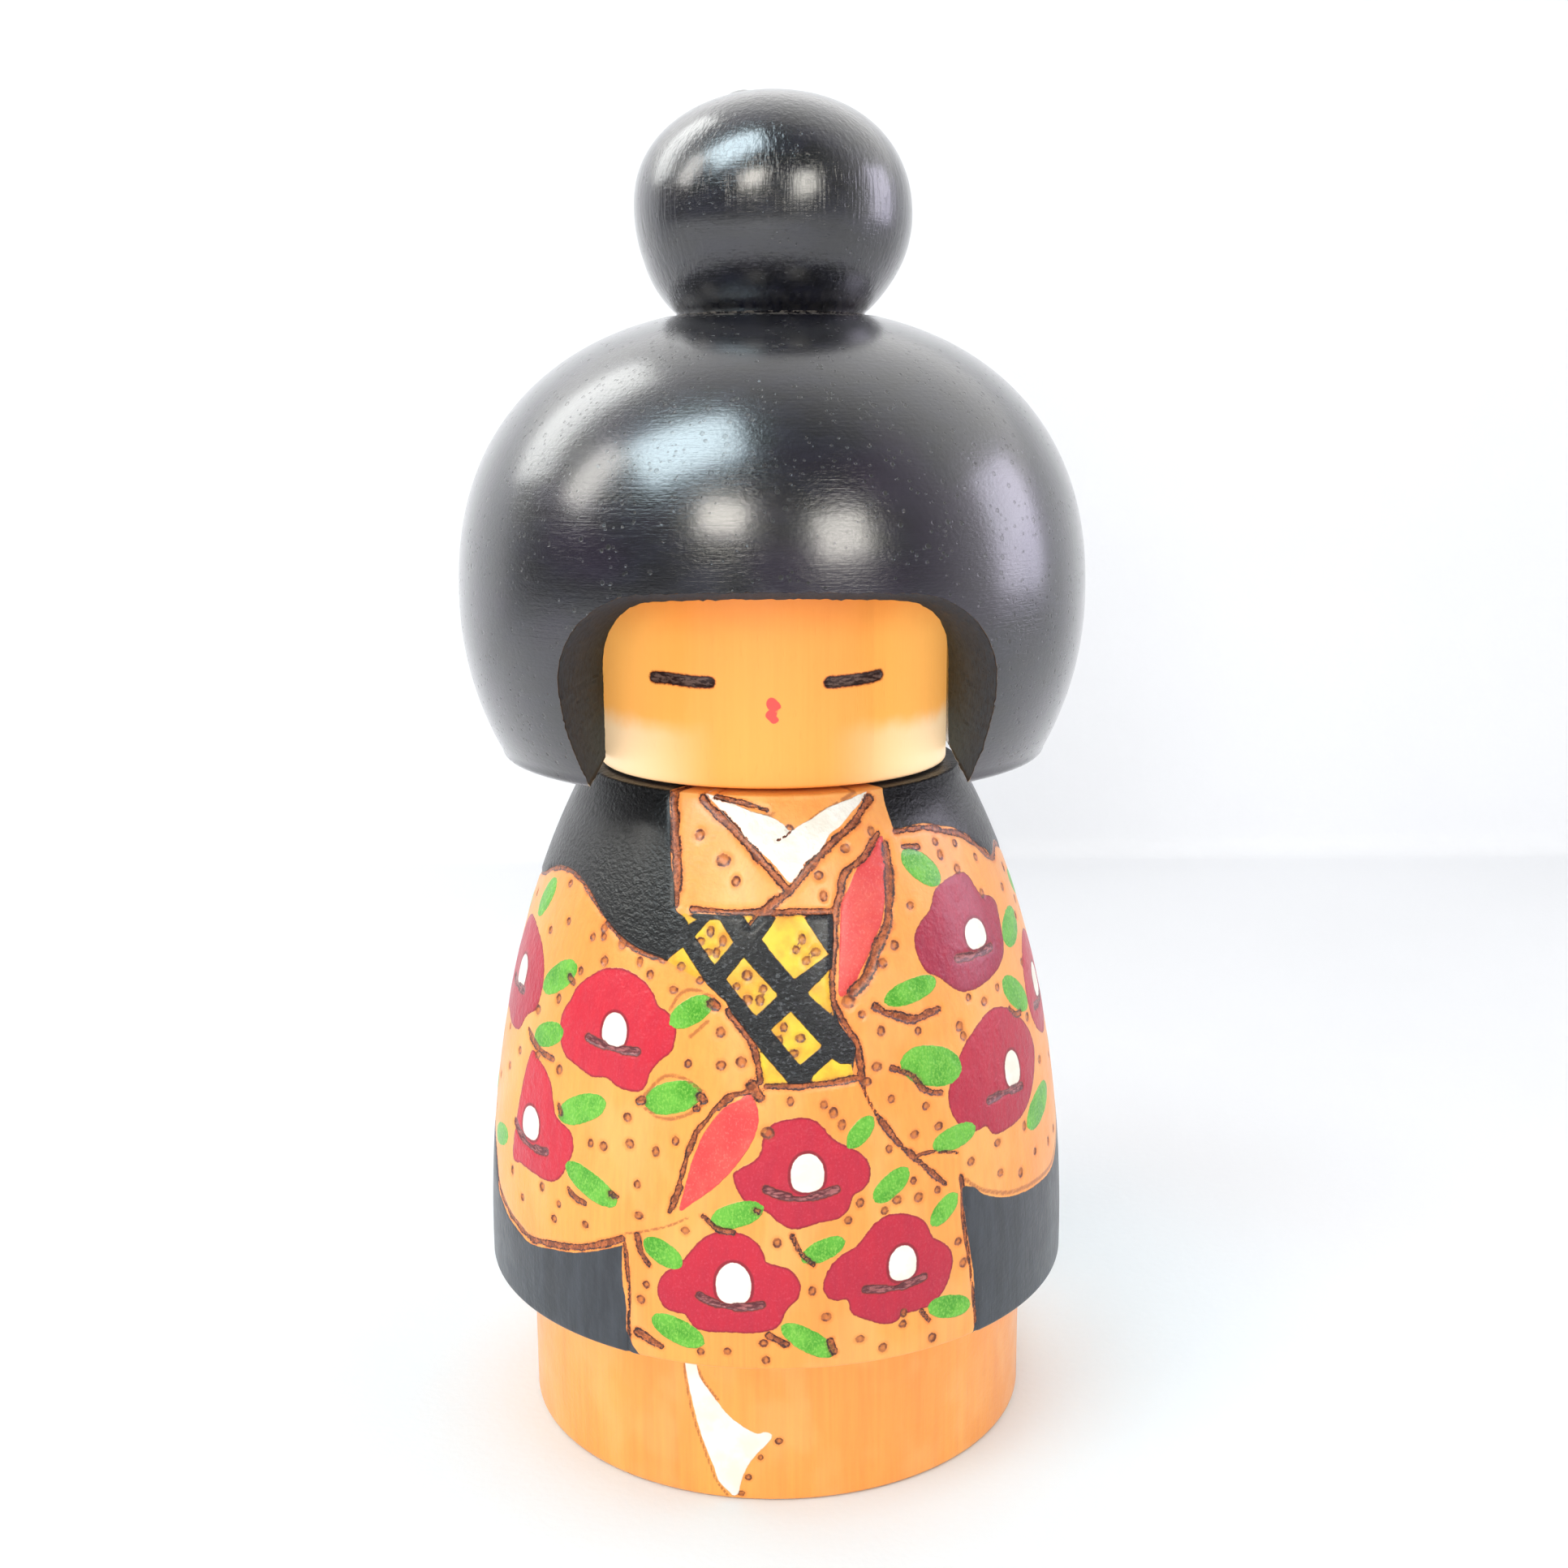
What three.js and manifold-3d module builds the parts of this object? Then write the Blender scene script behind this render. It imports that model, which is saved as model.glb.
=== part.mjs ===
// A turned wooden kokeshi doll, 150 mm tall, in millimetres with +Z up.
// The face looks along -Y, and the origin is the centre of the foot's underside.
// The body is one turning. The head is a hair cap bored from below around a face
// block, with a topknot pegged on its crown, and it turns on a peg in the body.

import * as THREE from 'three';
import { mergeVertices } from 'three/addons/utils/BufferGeometryUtils.js';
import Module from 'manifold-3d';

// Driving dimensions
const GLUE_GAP = 0.3;           // between two pieces that touch
const SEAM_GAP = 0.3;           // between the body's top and the head that turns on it
const BORE_SLACK = 0.1;         // extra in a peg's hole, where its facets turn against the peg's

const FOOT_RADIUS = 29.5;
const FOOT_CHAMFER = 0.5;
const HEM_RADIUS = 34.2;
const HEM_HEIGHT = 18.2;        // underside of the kimono's hem, above the foot
const HEM_EDGE = 0.5;           // rounding of the hem's lower edge
const SHOULDER_START = 20;      // where the straight hem ends and the taper starts
const SHOULDER_RISE = 72.8;     // upright half axis of the taper's ellipse
const BODY_TOP = 76.9;

const FACE_RADIUS = 19.95;
const FACE_EDGE = 0.4;
const FACE_BOTTOM = BODY_TOP + SEAM_GAP;
const FACE_TOP = 109.5;

const HAIR_RADIUS = 35.2;
const HAIR_RIM_HEIGHT = 78.4;   // underside of the hair, just above the body's top
const HAIR_RIM_EDGE = 0.9;
const HAIR_WIDEST = 96;         // height of the hair's greatest radius
const HAIR_DROP = 35.6;         // half axis below the widest height
const HAIR_RISE = 31.5;         // half axis above the widest height
const HAIR_CROWN_POWER = 2.3;   // 2 is an ellipse, more is squarer
const CROWN_FLAT = 126.35;      // small flat that the topknot is glued to

const KNOT_BOTTOM = CROWN_FLAT + GLUE_GAP;
const KNOT_RADIUS = 15.3;
const KNOT_WIDEST = 137.3;
const KNOT_DROP = 14.4;
const KNOT_TOP = 150;
const KNOT_CROWN_POWER = 2.2;

const NECK_PEG_RADIUS = 4.4;
const NECK_SOCKET_RADIUS = 5;   // running socket in the body
const NECK_SOCKET_FLOOR = 61;
const NECK_HOLE_RADIUS = NECK_PEG_RADIUS + GLUE_GAP + BORE_SLACK;
const NECK_HOLE_TOP = 92.3;
const KNOT_PEG_RADIUS = 3;
const KNOT_HOLE_RADIUS = KNOT_PEG_RADIUS + GLUE_GAP + BORE_SLACK;
const KNOT_HOLE_FLOOR = 118;
const KNOT_HOLE_TOP = 134.3;
const PEG_CHAMFER = 0.6;

// The face window is a sweep between two arch outlines, one beside the face and
// one in front of the hair. Each arch is taken about the window's own centre.
const WINDOW_CENTRE_X = 0.75;
const WINDOW_FLOOR = 70;        // below the rim, so that the cut is open downwards
const WINDOW_BULGE_FLOOR = 78;  // where the arch has its bottom half width
const INNER_ARCH = { y: -6, top: 95.2, half: 19.4, bottomHalf: 19.5, cornerX: 6, cornerZ: 7 };
const OUTER_ARCH = { y: -36, top: 99.55, half: 23.3, bottomHalf: 19.2, cornerX: 10.3, cornerZ: 10 };
const WINDOW_BACK_Y = -1;
const WINDOW_FRONT_Y = -41;

// Facets round a turning, and along its curves
const BODY_FACETS = 64;
const HAIR_FACETS = 72;
const FACE_FACETS = 56;
const KNOT_FACETS = 40;
const PEG_FACETS = 24;
const SHOULDER_STEPS = 14;
const HAIR_STEPS = 12;
const KNOT_STEPS = 8;
const SIDE_STEPS = 5;
const CORNER_STEPS = 7;
const SAME_POINT = 1e-4;        // points closer than this are one

// Finishes
const BODY_WOOD = { color: 0xe9a25c, roughness: 0.5 };
const FACE_WOOD = { color: 0xf0b06c, roughness: 0.45 };
const HAIR_LACQUER = { color: 0x1c1b20, roughness: 0.35 };
const KNOT_LACQUER = { color: 0x1d1c21, roughness: 0.33 };
const PEG_WOOD = { color: 0xd9b27c, roughness: 0.7 };

const wasm = await Module();
wasm.setup();

// Radius at height z of a form that is widest at `middle`.
function bulgeRadius(z, middle, radius, halfAxis, power) {
  const reach = Math.min(1, Math.abs(z - middle) / halfAxis);
  return radius * Math.pow(1 - Math.pow(reach, power), 1 / power);
}

// Heights from a to b, closer together towards an end where the form turns in.
function heights(a, b, steps, crowd) {
  const list = [];
  for (let i = 0; i <= steps; i++) {
    const t = i / steps;
    const eased = crowd ? Math.sin(t * Math.PI / 2) : t;
    list.push(a + (b - a) * eased);
  }
  return list;
}

// Profile points are [radius, height], from the axis, round the outside and back.
function turned(profile, facets) {
  const points = profile.map(([radius, height]) => new THREE.Vector2(radius, height));
  const geometry = new THREE.LatheGeometry(points, facets);
  geometry.rotateX(Math.PI / 2);
  return geometry;
}

function toManifold(geometry) {
  const plain = geometry.clone();
  plain.deleteAttribute('normal');
  plain.deleteAttribute('uv');
  const merged = mergeVertices(plain, SAME_POINT);
  return new wasm.Manifold(new wasm.Mesh({
    numProp: 3,
    vertProperties: new Float32Array(merged.attributes.position.array),
    triVerts: new Uint32Array(merged.index.array),
  }));
}

function fromManifold(solid) {
  const mesh = solid.getMesh();
  const geometry = new THREE.BufferGeometry();
  geometry.setAttribute('position', new THREE.BufferAttribute(mesh.vertProperties, 3));
  geometry.setIndex(new THREE.BufferAttribute(mesh.triVerts, 1));
  geometry.computeVertexNormals();
  return geometry;
}

function piece(name, geometry, finish) {
  const material = new THREE.MeshStandardMaterial({ ...finish, metalness: 0 });
  const mesh = new THREE.Mesh(geometry, material);
  mesh.name = name;
  return mesh;
}

function peg(radius, bottom, top) {
  return turned([
    [0, bottom],
    [radius - PEG_CHAMFER, bottom],
    [radius, bottom + PEG_CHAMFER],
    [radius, top - PEG_CHAMFER],
    [radius - PEG_CHAMFER, top],
    [0, top],
  ], PEG_FACETS);
}

// Foot, hem ledge and tapering kimono, with the neck socket in its top.
function bodyGeometry() {
  const taper = heights(SHOULDER_START, BODY_TOP, SHOULDER_STEPS, true)
    .map((z) => [bulgeRadius(z, SHOULDER_START, HEM_RADIUS, SHOULDER_RISE, 2), z]);
  return turned([
    [0, 0],
    [FOOT_RADIUS - FOOT_CHAMFER, 0],
    [FOOT_RADIUS, FOOT_CHAMFER],
    [FOOT_RADIUS, HEM_HEIGHT],
    [HEM_RADIUS - HEM_EDGE, HEM_HEIGHT],
    [HEM_RADIUS, HEM_HEIGHT + HEM_EDGE],
    ...taper,
    [NECK_SOCKET_RADIUS, BODY_TOP],
    [NECK_SOCKET_RADIUS, NECK_SOCKET_FLOOR],
    [0, NECK_SOCKET_FLOOR],
  ], BODY_FACETS);
}

// Plain cylinder that shows as the face, bored from below for the neck peg.
function faceGeometry() {
  return turned([
    [0, NECK_HOLE_TOP],
    [NECK_HOLE_RADIUS, NECK_HOLE_TOP],
    [NECK_HOLE_RADIUS, FACE_BOTTOM],
    [FACE_RADIUS - FACE_EDGE, FACE_BOTTOM],
    [FACE_RADIUS, FACE_BOTTOM + FACE_EDGE],
    [FACE_RADIUS, FACE_TOP - FACE_EDGE],
    [FACE_RADIUS - FACE_EDGE, FACE_TOP],
    [0, FACE_TOP],
  ], FACE_FACETS);
}

// Arch outline at depth y, as [x, z] points from the right foot over to the left.
function archAt(y) {
  const t = (y - INNER_ARCH.y) / (OUTER_ARCH.y - INNER_ARCH.y);
  const mix = (key) => INNER_ARCH[key] + (OUTER_ARCH[key] - INNER_ARCH[key]) * t;
  const half = mix('half');
  const top = mix('top');
  const cornerX = mix('cornerX');
  const cornerZ = mix('cornerZ');
  const spring = top - cornerZ;
  const right = [];
  for (let i = 0; i < SIDE_STEPS; i++) {
    const z = WINDOW_BULGE_FLOOR + (spring - WINDOW_BULGE_FLOOR) * i / SIDE_STEPS;
    const below = (spring - z) / (spring - WINDOW_BULGE_FLOOR);
    right.push([half - (half - mix('bottomHalf')) * below * below, z]);
  }
  for (let i = 0; i <= CORNER_STEPS; i++) {
    const angle = i / CORNER_STEPS * Math.PI / 2;
    right.push([half - cornerX + cornerX * Math.cos(angle), spring + cornerZ * Math.sin(angle)]);
  }
  right.unshift([mix('bottomHalf'), WINDOW_FLOOR]);
  const left = right.map(([x, z]) => [-x, z]).reverse();
  return [...right, ...left].map(([x, z]) => [x + WINDOW_CENTRE_X, y, z]);
}

// Closed solid between the arch at the back and the arch at the front.
function windowCutter() {
  const back = archAt(WINDOW_BACK_Y);
  const front = archAt(WINDOW_FRONT_Y);
  const count = back.length;
  const outline = back.map(([x, , z]) => new THREE.Vector2(x, z));
  const lid = THREE.ShapeUtils.triangulateShape(outline, []);
  const index = [];
  for (const [a, b, c] of lid) {
    index.push(a, c, b);
    index.push(count + a, count + b, count + c);
  }
  for (let i = 0; i < count; i++) {
    const next = (i + 1) % count;
    index.push(i, next, count + next);
    index.push(i, count + next, count + i);
  }
  const geometry = new THREE.BufferGeometry();
  const positions = new Float32Array([...back, ...front].flat());
  geometry.setAttribute('position', new THREE.BufferAttribute(positions, 3));
  geometry.setIndex(index);
  return geometry;
}

// Bobbed hair: a ball flattened at the crown, bored for the face block, with the
// face window cut through its front and a blind hole for the topknot's peg.
function hairGeometry() {
  const lower = heights(HAIR_WIDEST, HAIR_RIM_HEIGHT + HAIR_RIM_EDGE, HAIR_STEPS / 2, false)
    .reverse()
    .map((z) => [bulgeRadius(z, HAIR_WIDEST, HAIR_RADIUS, HAIR_DROP, 2), z]);
  const upper = heights(HAIR_WIDEST, CROWN_FLAT, HAIR_STEPS, true)
    .slice(1)
    .map((z) => [bulgeRadius(z, HAIR_WIDEST, HAIR_RADIUS, HAIR_RISE, HAIR_CROWN_POWER), z]);
  const ball = turned([
    [0, FACE_TOP + GLUE_GAP],
    [FACE_RADIUS + GLUE_GAP, FACE_TOP + GLUE_GAP],
    [FACE_RADIUS + GLUE_GAP, HAIR_RIM_HEIGHT],
    [lower[0][0] - HAIR_RIM_EDGE, HAIR_RIM_HEIGHT],
    ...lower,
    ...upper,
    [KNOT_HOLE_RADIUS, CROWN_FLAT],
    [KNOT_HOLE_RADIUS, KNOT_HOLE_FLOOR],
    [0, KNOT_HOLE_FLOOR],
  ], HAIR_FACETS);
  return fromManifold(toManifold(ball).subtract(toManifold(windowCutter())));
}

// Bun with a flat underside, bored from below for its peg.
function knotGeometry() {
  const lower = heights(KNOT_WIDEST, KNOT_BOTTOM, KNOT_STEPS, false)
    .reverse()
    .map((z) => [bulgeRadius(z, KNOT_WIDEST, KNOT_RADIUS, KNOT_DROP, 2), z]);
  const rise = KNOT_TOP - KNOT_WIDEST;
  const upper = heights(KNOT_WIDEST, KNOT_TOP, KNOT_STEPS, true)
    .slice(1)
    .map((z) => [bulgeRadius(z, KNOT_WIDEST, KNOT_RADIUS, rise, KNOT_CROWN_POWER), z]);
  return turned([
    [0, KNOT_HOLE_TOP],
    [KNOT_HOLE_RADIUS, KNOT_HOLE_TOP],
    [KNOT_HOLE_RADIUS, KNOT_BOTTOM],
    ...lower,
    ...upper,
  ], KNOT_FACETS);
}

const neckPeg = peg(NECK_PEG_RADIUS, NECK_SOCKET_FLOOR + SEAM_GAP, NECK_HOLE_TOP - GLUE_GAP);
const knotPeg = peg(KNOT_PEG_RADIUS, KNOT_HOLE_FLOOR + GLUE_GAP, KNOT_HOLE_TOP - GLUE_GAP);

const doll = new THREE.Group();
doll.add(
  piece('body', bodyGeometry(), BODY_WOOD),
  piece('face_block', faceGeometry(), FACE_WOOD),
  piece('hair_cap', hairGeometry(), HAIR_LACQUER),
  piece('topknot', knotGeometry(), KNOT_LACQUER),
  piece('neck_peg', neckPeg, PEG_WOOD),
  piece('topknot_peg', knotPeg, PEG_WOOD),
);

export default doll;
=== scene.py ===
"""A turned wooden kokeshi doll with burned outlines and painted camellias.

Sizes are in millimetres and angles in degrees unless a name says otherwise.
The doll faces -Y. An angle round it is 0 at the front and grows towards +X.
"""
from functools import reduce
import math

import bmesh
import bpy
import numpy as np
from mathutils import Matrix, Vector


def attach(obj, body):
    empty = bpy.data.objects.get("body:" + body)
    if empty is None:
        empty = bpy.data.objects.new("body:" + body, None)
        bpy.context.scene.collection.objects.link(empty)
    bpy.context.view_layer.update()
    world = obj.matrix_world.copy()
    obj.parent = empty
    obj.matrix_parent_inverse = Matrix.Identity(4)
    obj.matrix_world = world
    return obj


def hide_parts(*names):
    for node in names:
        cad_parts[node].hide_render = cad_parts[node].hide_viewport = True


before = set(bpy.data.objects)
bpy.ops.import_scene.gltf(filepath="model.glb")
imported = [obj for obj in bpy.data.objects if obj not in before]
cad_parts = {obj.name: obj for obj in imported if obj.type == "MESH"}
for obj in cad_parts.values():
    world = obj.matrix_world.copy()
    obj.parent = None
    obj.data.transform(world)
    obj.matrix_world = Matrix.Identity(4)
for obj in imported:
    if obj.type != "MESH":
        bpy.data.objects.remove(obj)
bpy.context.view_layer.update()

MM = 0.001
FAR = 9.0                    # a distance that means "nowhere near"

# ---------------------------------------------------------------- the turnings

FOOT_RADIUS = 29.5
FOOT_ROUNDING = 0.55
HEM_RADIUS = 34.2
HEM_HEIGHT = 18.2
HEM_ROUNDING = 0.4
TAPER_START = 20.0
TAPER_RISE = 72.8
BODY_TOP = 76.9
RIM_ROUNDING = 0.35
SOCKET_RADIUS = 5.0
SOCKET_FLOOR = 61.0

FACE_RADIUS = 19.95
FACE_BOTTOM = 77.15
FACE_TOP = 109.5
FACE_ROUNDING = 0.4
FACE_HIDDEN = 98.0           # above this the hair covers the face block
NECK_HOLE_RADIUS = 4.8
NECK_HOLE_TOP = 92.3

HAIR_RADIUS = 35.2
HAIR_FRONT = 35.087          # the window takes the roundest part of the front away
HAIR_RIM = 78.4
HAIR_RIM_ROUNDING = 0.8
HAIR_WIDEST = 96.0
HAIR_DROP = 35.6
HAIR_RISE = 31.5
HAIR_POWER = 2.3
CROWN = 126.35
HAIR_BORE = 20.2
BORE_TOP = 109.7
KNOT_HOLE_RADIUS = 3.4
KNOT_HOLE_FLOOR = 118.0

KNOT_RADIUS = 15.3
KNOT_BOTTOM = 126.4
KNOT_ROUNDING = 0.4
KNOT_WIDEST = 137.3
KNOT_DROP = 14.4
KNOT_TOP = 150.0
KNOT_POWER = 2.2
KNOT_HOLE_TOP = 134.3

WINDOW_X = 0.75
WINDOW_FLOOR = 70.0
ARCH_FOOT = 78.0
INNER_ARCH = dict(y=-6, top=95.2, half=19.4, foot=19.5, corner_x=6, corner_z=7)
OUTER_ARCH = dict(y=-36, top=99.55, half=23.3, foot=19.2, corner_x=10.3, corner_z=10)
WINDOW_BACK = -1.0
WINDOW_FRONT = -41.0

FRONT_ANGLES = (-112, 112)   # the finely divided front of the body
FACE_ANGLES = (-75, 75)


def bulge(z, middle, radius, half_axis, power=2.0):
    """Radius at height z of a form that is widest at middle."""
    reach = np.clip(np.abs(np.asarray(z, float) - middle) / half_axis, 0, 1)
    return radius * (1 - reach ** power) ** (1 / power)


def kimono_radius(z):
    return bulge(np.maximum(z, TAPER_START), TAPER_START, HEM_RADIUS, TAPER_RISE)


def hair_lower(z):
    return bulge(z, HAIR_WIDEST, HAIR_RADIUS, HAIR_DROP)


def hair_upper(z):
    return bulge(z, HAIR_WIDEST, HAIR_RADIUS, HAIR_RISE, HAIR_POWER)


def knot_lower(z):
    return bulge(z, KNOT_WIDEST, KNOT_RADIUS, KNOT_DROP)


def knot_upper(z):
    return bulge(z, KNOT_WIDEST, KNOT_RADIUS, KNOT_TOP - KNOT_WIDEST, KNOT_POWER)


def spaced(a, b, step):
    """Values from a to b, no more than step apart."""
    return np.linspace(a, b, max(1, math.ceil(abs(b - a) / step)) + 1)


def eased(a, b, count):
    """Values from a to b that crowd together towards b."""
    return a + (b - a) * np.sin(np.linspace(0, math.pi / 2, count))


def rounding(radius, z, size, start, end, steps=4):
    """Quarter round about a centre, as profile points between two angles."""
    turns = np.radians(np.linspace(start, end, steps + 1))
    return [(radius + size * math.cos(t), z + size * math.sin(t)) for t in turns]


def along(radius_at, heights):
    return [(float(radius_at(z)), float(z)) for z in heights]


def flat(z, r0, r1, step):
    return [(float(r), z) for r in spaced(r0, r1, step)]


def wall(r, z0, z1, step):
    return [(r, float(z)) for z in spaced(z0, z1, step)]


def all_round(step):
    return spaced(0, 360, step)[:-1]


def front_and_back(front, fine, coarse):
    """Angles round a turning that is only finely divided between two of them."""
    start, end = front
    return np.concatenate([spaced(start, end, fine), spaced(end, start + 360, coarse)[1:-1]])


def lathe(name, profile, angles):
    """Closed turning from a profile that starts and ends on the axis."""
    points = [profile[0]]
    for r, z in profile[1:]:
        if abs(r - points[-1][0]) + abs(z - points[-1][1]) > 1e-6:
            points.append((r, z))
    radii, heights = (np.array(v) for v in zip(*points))
    theta = np.radians(angles)
    count, rows = len(angles), len(points) - 2
    inner_r, inner_z = radii[1:-1, None], heights[1:-1, None]
    ring = np.stack([
        inner_r * np.sin(theta),
        -inner_r * np.cos(theta),
        np.broadcast_to(inner_z, (rows, count)),
    ], axis=-1).reshape(-1, 3)
    verts = np.vstack([ring, [0, 0, heights[0]], [0, 0, heights[-1]]])
    first, last = rows * count, rows * count + 1
    column = np.arange(count)
    after = (column + 1) % count
    row = np.arange(rows - 1)[:, None] * count
    quads = np.stack([row + column, row + after, row + count + after, row + count + column], -1)
    faces = quads.reshape(-1, 4).tolist()
    top = (rows - 1) * count
    faces += [[first, b, a] for a, b in zip(column.tolist(), after.tolist())]
    faces += [[last, top + a, top + b] for a, b in zip(column.tolist(), after.tolist())]
    mesh = bpy.data.meshes.new(name)
    mesh.from_pydata((verts * MM).tolist(), [], faces)
    mesh.update()
    mesh.shade_smooth()
    return mesh


def points_of(mesh):
    values = np.empty(len(mesh.vertices) * 3)
    mesh.vertices.foreach_get("co", values)
    return values.reshape(-1, 3) / MM


def move_points(mesh, points):
    mesh.vertices.foreach_set("co", (points * MM).ravel())
    mesh.update()


def push(mesh, amount):
    """Moves each point along the surface's own direction by amount."""
    normals = np.empty(len(mesh.vertices) * 3)
    mesh.vertex_normals.foreach_get("vector", normals)
    move_points(mesh, points_of(mesh) + normals.reshape(-1, 3) * amount[:, None])


def store(mesh, layers):
    """Keeps a number for each point under each layer's name, for the materials."""
    for name, values in layers.items():
        layer = mesh.attributes.new(name, "FLOAT", "POINT")
        layer.data.foreach_set("value", values.astype(np.float32))


def sharpen(mesh, degrees):
    mesh.set_sharp_from_angle(angle=math.radians(degrees))


def add_piece(name, mesh, material, body, node):
    obj = bpy.data.objects.new(name, mesh)
    bpy.context.scene.collection.objects.link(obj)
    mesh.materials.append(material)
    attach(obj, body)
    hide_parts(node)
    return obj


# ---------------------------------------------------------- drawing on a turning

LAYERS = ("burn", "bar", "dot", "faint", "petal", "leaf", "yellow", "black", "white", "lining", "lips")
RAISED = ("petal", "leaf", "white", "lining", "black", "yellow")
GROOVE = 0.16                # depth of a burned line
GROOVE_EDGE = 1.25           # where it starts, in half widths of the line
PAINT = 0.035                # thickness of the paint
DOT_SIZE = 1.08
DOT_WOBBLE = 0.16
PHASE_SPREAD = 12.9898       # makes every dot wobble differently
DEGREES_PER_MM = 3.2         # at the narrowest place that is drawn on
LEAF_POWER = 2.3             # above 2 a leaf's tips are blunter


def curve_through(points, closed=False, steps=5):
    """Smooth curve through a few points (Catmull-Rom)."""
    p = np.array(points, float)
    if closed:
        p = np.vstack([p[-1], p, p[0], p[1]])
    elif len(p) > 2:
        p = np.vstack([2 * p[0] - p[1], p, 2 * p[-1] - p[-2]])
    else:
        return p
    out = []
    for a, b, c, d in zip(p, p[1:], p[2:], p[3:]):
        for t in np.arange(steps) / steps:
            out.append(0.5 * (2 * b + (c - a) * t + (2 * a - 5 * b + 4 * c - d) * t ** 2
                              + (3 * b - a - 3 * c + d) * t ** 3))
    if not closed:
        out.append(p[-2])
    return np.array(out)


def path_distance(path, theta, z, scale):
    """Distance from a path to each point, in millimetres."""
    best = np.full(len(theta), FAR)
    for a, b in zip(path, path[1:]):
        ax, az = (a[0] - theta) * scale, a[1] - z
        bx, bz = (b[0] - theta) * scale, b[1] - z
        dx, dz = bx - ax, bz - az
        t = np.clip(-(ax * dx + az * dz) / np.maximum(dx * dx + dz * dz, 1e-9), 0, 1)
        best = np.minimum(best, np.hypot(ax + t * dx, az + t * dz))
    return best


class Canvas:
    """Layers of distances over the points of a turned surface."""

    def __init__(self, points, drawable):
        self.radius = np.hypot(points[:, 0], points[:, 1])
        self.theta = np.degrees(np.arctan2(points[:, 0], -points[:, 1]))
        self.z = points[:, 2]
        self.drawable = drawable
        self.layers = {name: np.full(len(self.z), FAR) for name in LAYERS}

    def plain_layer(self, name):
        self.layers[name] = np.zeros(len(self.z))
        return self.layers[name]

    def local(self, shape, reach=3.0):
        """Points near a shape: index, angle, height and millimetres in a degree."""
        low, high = shape.min(0), shape.max(0)
        slack = reach * DEGREES_PER_MM
        near = (self.theta > low[0] - slack) & (self.theta < high[0] + slack)
        near &= (self.z > low[1] - reach) & (self.z < high[1] + reach)
        at = np.nonzero(near & self.drawable)[0]
        return at, self.theta[at], self.z[at], np.radians(self.radius[at])

    def keep_lower(self, name, at, value):
        layer = self.layers[name]
        layer[at] = np.minimum(layer[at], value)

    def outline_distance(self, outline):
        """Distance from an outline, below zero inside it."""
        at, theta, z, scale = self.local(outline)
        path = np.vstack([outline, outline[:1]])
        distance = path_distance(path, theta, z, scale)
        inside = np.zeros(len(at), bool)
        for a, b in zip(path, path[1:]):
            if a[1] != b[1]:
                crossing = (a[1] > z) != (b[1] > z)
                inside ^= crossing & (theta < (b[0] - a[0]) * (z - a[1]) / (b[1] - a[1]) + a[0])
        return at, np.where(inside, -distance, distance)

    def region(self, name, points, smooth=True):
        """Fills an outline: the layer is below zero inside it."""
        outline = curve_through(points, closed=True) if smooth else np.array(points, float)
        at, distance = self.outline_distance(outline)
        self.keep_lower(name, at, distance)
        return at, distance

    def burn(self, points, width, name="burn"):
        """Pen stroke: the layer is 1 at the stroke's edge and 0 along its middle."""
        path = curve_through(points)
        at, theta, z, scale = self.local(path)
        self.keep_lower(name, at, path_distance(path, theta, z, scale) / (width / 2))

    def dot(self, theta, z, size=DOT_SIZE):
        """Burned ring left by a twist of the hot pen."""
        phase = theta * PHASE_SPREAD + z
        wide = size * (1 + DOT_WOBBLE * math.sin(phase)) / 2
        tall = size * (1 + DOT_WOBBLE * math.cos(phase * 1.7)) / 2
        at, t, h, scale = self.local(np.array([[theta, z]]), 2.0)
        self.keep_lower("dot", at, np.hypot((t - theta) * scale / wide, (h - z) / tall))

    def leaf(self, tip, end, width):
        """Almond between two tips."""
        tip, end = np.array(tip, float), np.array(end, float)
        at, theta, z, scale = self.local(np.array([tip, end]), 4.0)
        ux, uz = (end[0] - tip[0]) * scale, end[1] - tip[1]
        length = np.hypot(ux, uz)
        px, pz = (theta - tip[0]) * scale, z - tip[1]
        along_leaf = (px * ux + pz * uz) / length
        across = np.abs(px * uz - pz * ux) / length
        s = np.clip(along_leaf / length, 0, 1)
        half = width / 2 * np.sqrt(np.maximum(1 - np.abs(2 * s - 1) ** LEAF_POWER, 0))
        past = np.maximum(np.maximum(-along_leaf, along_leaf - length), 0)
        outside = np.hypot(np.maximum(across - half, 0), past)
        self.keep_lower("leaf", at, outside - np.maximum(half - across, 0) * 0.8)

    def carve(self, mesh):
        """Sinks the pen strokes, raises the paint and hands the layers on."""
        burn = np.minimum.reduce([self.layers[name] for name in ("burn", "bar", "dot")])
        groove = np.clip(GROOVE_EDGE - burn, 0, 1)
        paint = np.minimum.reduce([self.layers[name] for name in RAISED])
        raised = np.clip(0.5 - paint, 0, 1)
        push(mesh, PAINT * raised - GROOVE * groove ** 0.8 - PAINT)
        store(mesh, self.layers)


# ------------------------------------------------------------ the kimono's design
# Every point is (angle, height). Outlines run behind the sides where nothing shows.

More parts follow.
